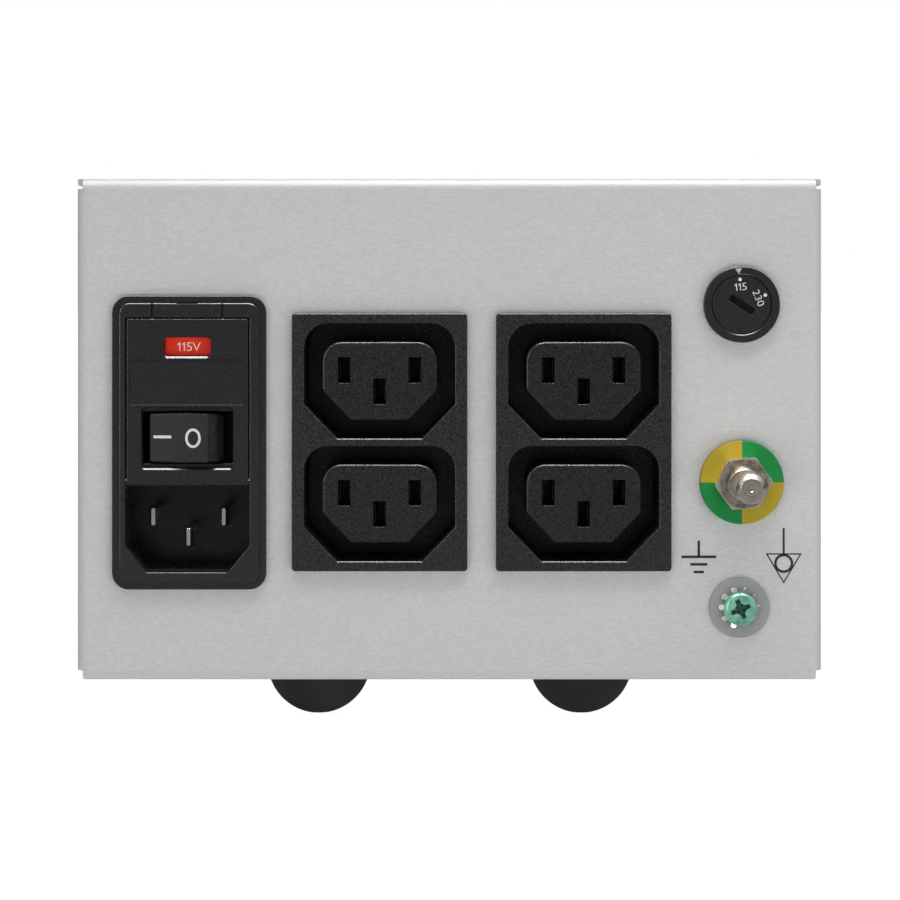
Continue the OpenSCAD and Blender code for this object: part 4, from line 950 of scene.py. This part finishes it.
symbolSizes = {"earthX": 49.5, "earthStem": (34.6, 37.8), "earthBars": ((34.6, 6.95), (33.1, 3.4), (31.6, 2.05)),
               "line": 0.52, "equalX": 66.35, "equalStem": (35.3, 40.3), "stemLine": 0.42, "equalTop": 35.3,
               "equalWidth": 7.2, "equalApex": 29.25, "triangleLine": 0.26, "ringUp": 33.3, "ringRadius": 1.9,
               "ringLine": 0.5, "ink": 0.03}


def makePanelSymbols():
    s = SimpleNamespace(**symbolSizes)
    x = s.equalX

    def bar(right, low, high, width):
        return prism(rectangle(width, high - low, 0.04, right, (low + high) / 2), 0, s.ink)

    def hollow(outline, line):
        return carve(prism(outline, 0, s.ink), [prism(spread(outline, -line), -1, 1)])

    pieces = [bar(s.earthX, *s.earthStem, s.line)]
    pieces += [bar(s.earthX, up - s.line / 2, up + s.line / 2, width) for up, width in s.earthBars]
    pieces.append(bar(x, *s.equalStem, s.stemLine))
    half = s.equalWidth / 2
    triangle = [Vector(p) for p in ((x, s.equalApex), (x + half, s.equalTop), (x - half, s.equalTop))]
    pieces.append(hollow(triangle, s.triangleLine))
    pieces.append(hollow(oval(x, s.ringUp, s.ringRadius, s.ringRadius, 48), s.ringLine))
    symbols = place(together("panelSymbols", pieces), onPanel(Vector((0, 0, 0))))
    fit(symbols, "case", "grey_paint", blackInk)


makePanelSymbols()

# Case screws

caseScrewSizes = {"head": 2.75, "headHeight": 1.2, "shank": 1.5, "length": 6.5, "recessLength": 3.0,
                  "recessWidth": 0.6, "recessDepth": 0.8, "recessTaper": 0.6, "inset": 7.0, "low": 30.0, "high": 88.0,
                  "bottomX": 50.0, "bottomZ": 10.0}


def makeCaseScrews():
    s = SimpleNamespace(**caseScrewSizes)
    screw = lathe("screw", [(0, -s.length), (s.shank, -s.length), (s.shank, -s.headHeight),
                            (s.head, -0.08), (s.head - 0.05, 0), (0, 0)], 40)
    carve(screw, crossCutters(s, 0, 0))
    place(polish(screw), Matrix.Scale(mm, 4))
    low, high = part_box("outer_shell")
    front = low.y + s.inset * mm
    back = (0, high.y - low.y - 2 * s.inset * mm, 0)
    bottom, start = s.bottomX * mm, s.low * mm
    rise = (0, 0, (s.high - s.low) * mm)
    tree = copyTree("screwRows", [(label, "Vector") for label in ("Start", "Row step", "Column step", "Turn")], inRows)
    rows = []
    for name, corner, step, turn in (("left", (low.x, front, start), rise, (0, -math.pi / 2, 0)),
                                     ("right", (high.x, front, start), rise, (0, math.pi / 2, 0)),
                                     ("bottom", (-bottom, front, s.bottomZ * mm), (2 * bottom, 0, 0),
                                      (math.pi, 0, 0))):
        row = newPiece(name, bpy.data.meshes.new(name))
        rows.append(grow(row, tree, {"Piece": screw, "Start": corner, "Row step": back, "Column step": step,
                                     "Turn": turn, "Finish": zincPlate}))
    bpy.data.objects.remove(screw)
    fit(together("caseScrews", rows), "case", "zinc", zincPlate, ["case_screws"])


makeCaseScrews()
print("symbols and case screws ready")

# Pieces inside the case

leadColours = {"primary_leads": (0.16, 0.06, 0.025), "secondary_leads": (0.02, 0.07, 0.35),
               "selector_leads": (0.45, 0.02, 0.02), "earth_leads": (0.05, 0.30, 0.05)}
insidePieces = (  # edge width in millimetres, body, slot, material and nodes
    (0.08, "case", "zinc", zincPlate, ("clinch_nuts", "selector_nut", "potential_washer", "potential_nut", "earth_nut",
                                       "clamp_washer", "centre_bolt", "centre_nut")),
    (0.08, "case", "nickel", brightNickel, ("switch_terminals", "selector_terminals")),
    # outlet contacts: metal with painted shade of the slots
    (0.05, "case", "nickel", shadedSlotMetal, ("outlet_contacts",)),
    (0.08, "case", "tinned_brass", tinnedBrass, ("ring_terminals",)),
    (0.15, "case", "grey_plastic", cutoutPlastic, ("thermal_cutout",)),
    (0.0, "case", "core_steel", coreSteel, ("transformer_core",)),
    (0.0, "case", "winding_wrap", copperWinding("windingWrap"), ("transformer_winding",)),
    (0.3, "case", "black_rubber", padRubber, ("lower_pad", "upper_pad")),
    (0.08, "fuse_drawer", "nickel", brightNickel, ("fuse_caps",)),
    (0.05, "fuse_drawer", "fuse_glass", fuseGlass("fuseGlass"), ("fuse_tubes",)),
    (0.15, "fuse_drawer", "red_plastic", flagPlastic, ("voltage_flag",)))


def makeLeads(node, colour):  # rounder than the eight flats of the frame's leads
    leads = nodeCopy(node)
    step = leads.modifiers.new("round", "SUBSURF")
    step.levels = 1
    leads.data.shade_smooth()
    applyModifiers(leads)
    fit(leads, "case", "lead_insulation", mouldedPlastic(node, colour, 0.35, 900, 0.02), [node])


for width, body, slot, material, nodes in insidePieces:
    for node in nodes:
        refine(node + "Finish", node, width, body, slot, material)
for node, colour in leadColours.items():
    makeLeads(node, colour)
print("inside pieces ready")

# Floor, light and camera

stageSizes = {"pixels": 900, "pixelsPerMm": 5.04, "middleX": 449.3, "footX": 463.0, "footY": 274.0, "lowY": 680.8,
              "lowZ": 10.0, "distance": 600.0, "sensor": 36.0}
white = (1, 1, 1, 1)


def makeStage():  # white to the camera, with the shadow kept near the case
    floor = meshFrom("floor", lambda grown: bmesh.ops.create_grid(grown, x_segments=1, y_segments=1, size=6))
    floor.data.transform(Matrix.Translation((0, 0, -0.05 * mm)))
    paint = Paint("floorPaper", {"Specular IOR Level": 0.0, "Roughness": 0.9, "Emission Strength": 0.4})
    gloss = paint.node("ShaderNodeLightPath", {}, {}, "Is Glossy Ray")
    paint.feed(Base_Color=paint.mix(gloss, shade(white, 0.8), shade(white, 0.2)),
               Emission_Color=paint.mix(gloss, white, shade(white, 0.25)))
    share = paint.node("ShaderNodeMapRange", {}, {0: paint.length(paint.place), 1: 0.2, 2: 0.7, 3: 0.76, 4: 1.0})
    seen = paint.node("ShaderNodeLightPath", {}, {}, "Is Camera Ray")
    glow = paint.node("ShaderNodeEmission", {}, {"Color": white, "Strength": 1.15}, "Emission")
    lit = Signal(paint, paint.shader.outputs[0])
    both = paint.node("ShaderNodeMixShader", {}, {0: share * seen, 1: lit, 2: glow}, "Shader")
    paint.connect(paint.tree.nodes["Material Output"], {"Surface": both})
    floor.data.materials.append(paint.material)


def whiteWorld(strength):  # white to the camera, dark near the horizon and bright overhead
    world = bpy.data.worlds.new("whiteWorld")
    bpy.context.scene.world = world
    world.use_nodes = True
    tree = world.node_tree
    light = tree.nodes["Background"]
    place, split, climb, seen, path, choice = addNodes(tree, "ShaderNode", "TexCoord", "SeparateXYZ", "MapRange",
                                                       "Background", "LightPath", "MixShader")
    light.inputs["Color"].default_value = white
    seen.inputs["Color"].default_value = white
    for label, value in (("From Min", 0.1), ("From Max", 0.9), ("To Min", strength * 0.06), ("To Max", strength)):
        climb.inputs[label].default_value = value
    wire(tree, [(place, "Generated", split, 0), (split, "Z", climb, "Value"), (climb, "Result", light, "Strength"),
                (path, "Is Camera Ray", choice, 0), (light, 0, choice, 1), (seen, 0, choice, 2),
                (choice, 0, tree.nodes["World Output"], "Surface")])


def softLamp(name, where, aim, size, watts):
    data = bpy.data.lights.new(name, "AREA")
    data.shape = "RECTANGLE"
    data.size, data.size_y = size
    data.energy = watts
    lamp = newPiece(name, data)
    lamp.location = where
    lamp.visible_camera = False
    lamp.rotation_euler = (Vector(aim) - Vector(where)).to_track_quat("-Z", "Y").to_euler()
    return lamp


def makeCamera():
    s = SimpleNamespace(**stageSizes)
    data = bpy.data.cameras.new("camera")
    camera = newPiece("camera", data)
    x = (s.footX - s.middleX) / s.pixelsPerMm
    z = s.lowZ + (s.lowY - s.footY) / s.pixelsPerMm
    camera.location = (x * mm, panelFront - s.distance * mm, z * mm)
    camera.rotation_euler = (math.pi / 2, 0, 0)
    data.sensor_width = s.sensor
    data.lens = s.sensor * s.distance * s.pixelsPerMm / s.pixels
    data.shift_x = (s.pixels / 2 - s.footX) / s.pixels
    data.shift_y = (s.footY - s.pixels / 2) / s.pixels
    bpy.context.scene.camera = camera


makeStage()
whiteWorld(0.7)
panelMiddle = (0, -0.09, 0.06)
softLamp("overheadLamp", (0.15, -0.5, 0.95), (0, -0.05, 0.05), (1.0, 0.16), 3.9)
softLamp("rightLamp", (0.85, -0.75, 0.2), panelMiddle, (0.4, 0.5), 0.36)
softLamp("lowLamp", (0.02, -0.33, 0.03), (0, -0.09, 0.02), (0.5, 0.04), 0.2).visible_glossy = False
softLamp("edgeGlint", (0.05, -0.1, 1.0), panelMiddle, (1.0, 0.6), 44.0).visible_diffuse = False
softLamp("leftGlint", (-0.62, -0.75, 0.1), panelMiddle, (0.06, 0.6), 2.0).visible_diffuse = False
makeCamera()
scene = bpy.context.scene
scene.view_settings.view_transform = "Standard"
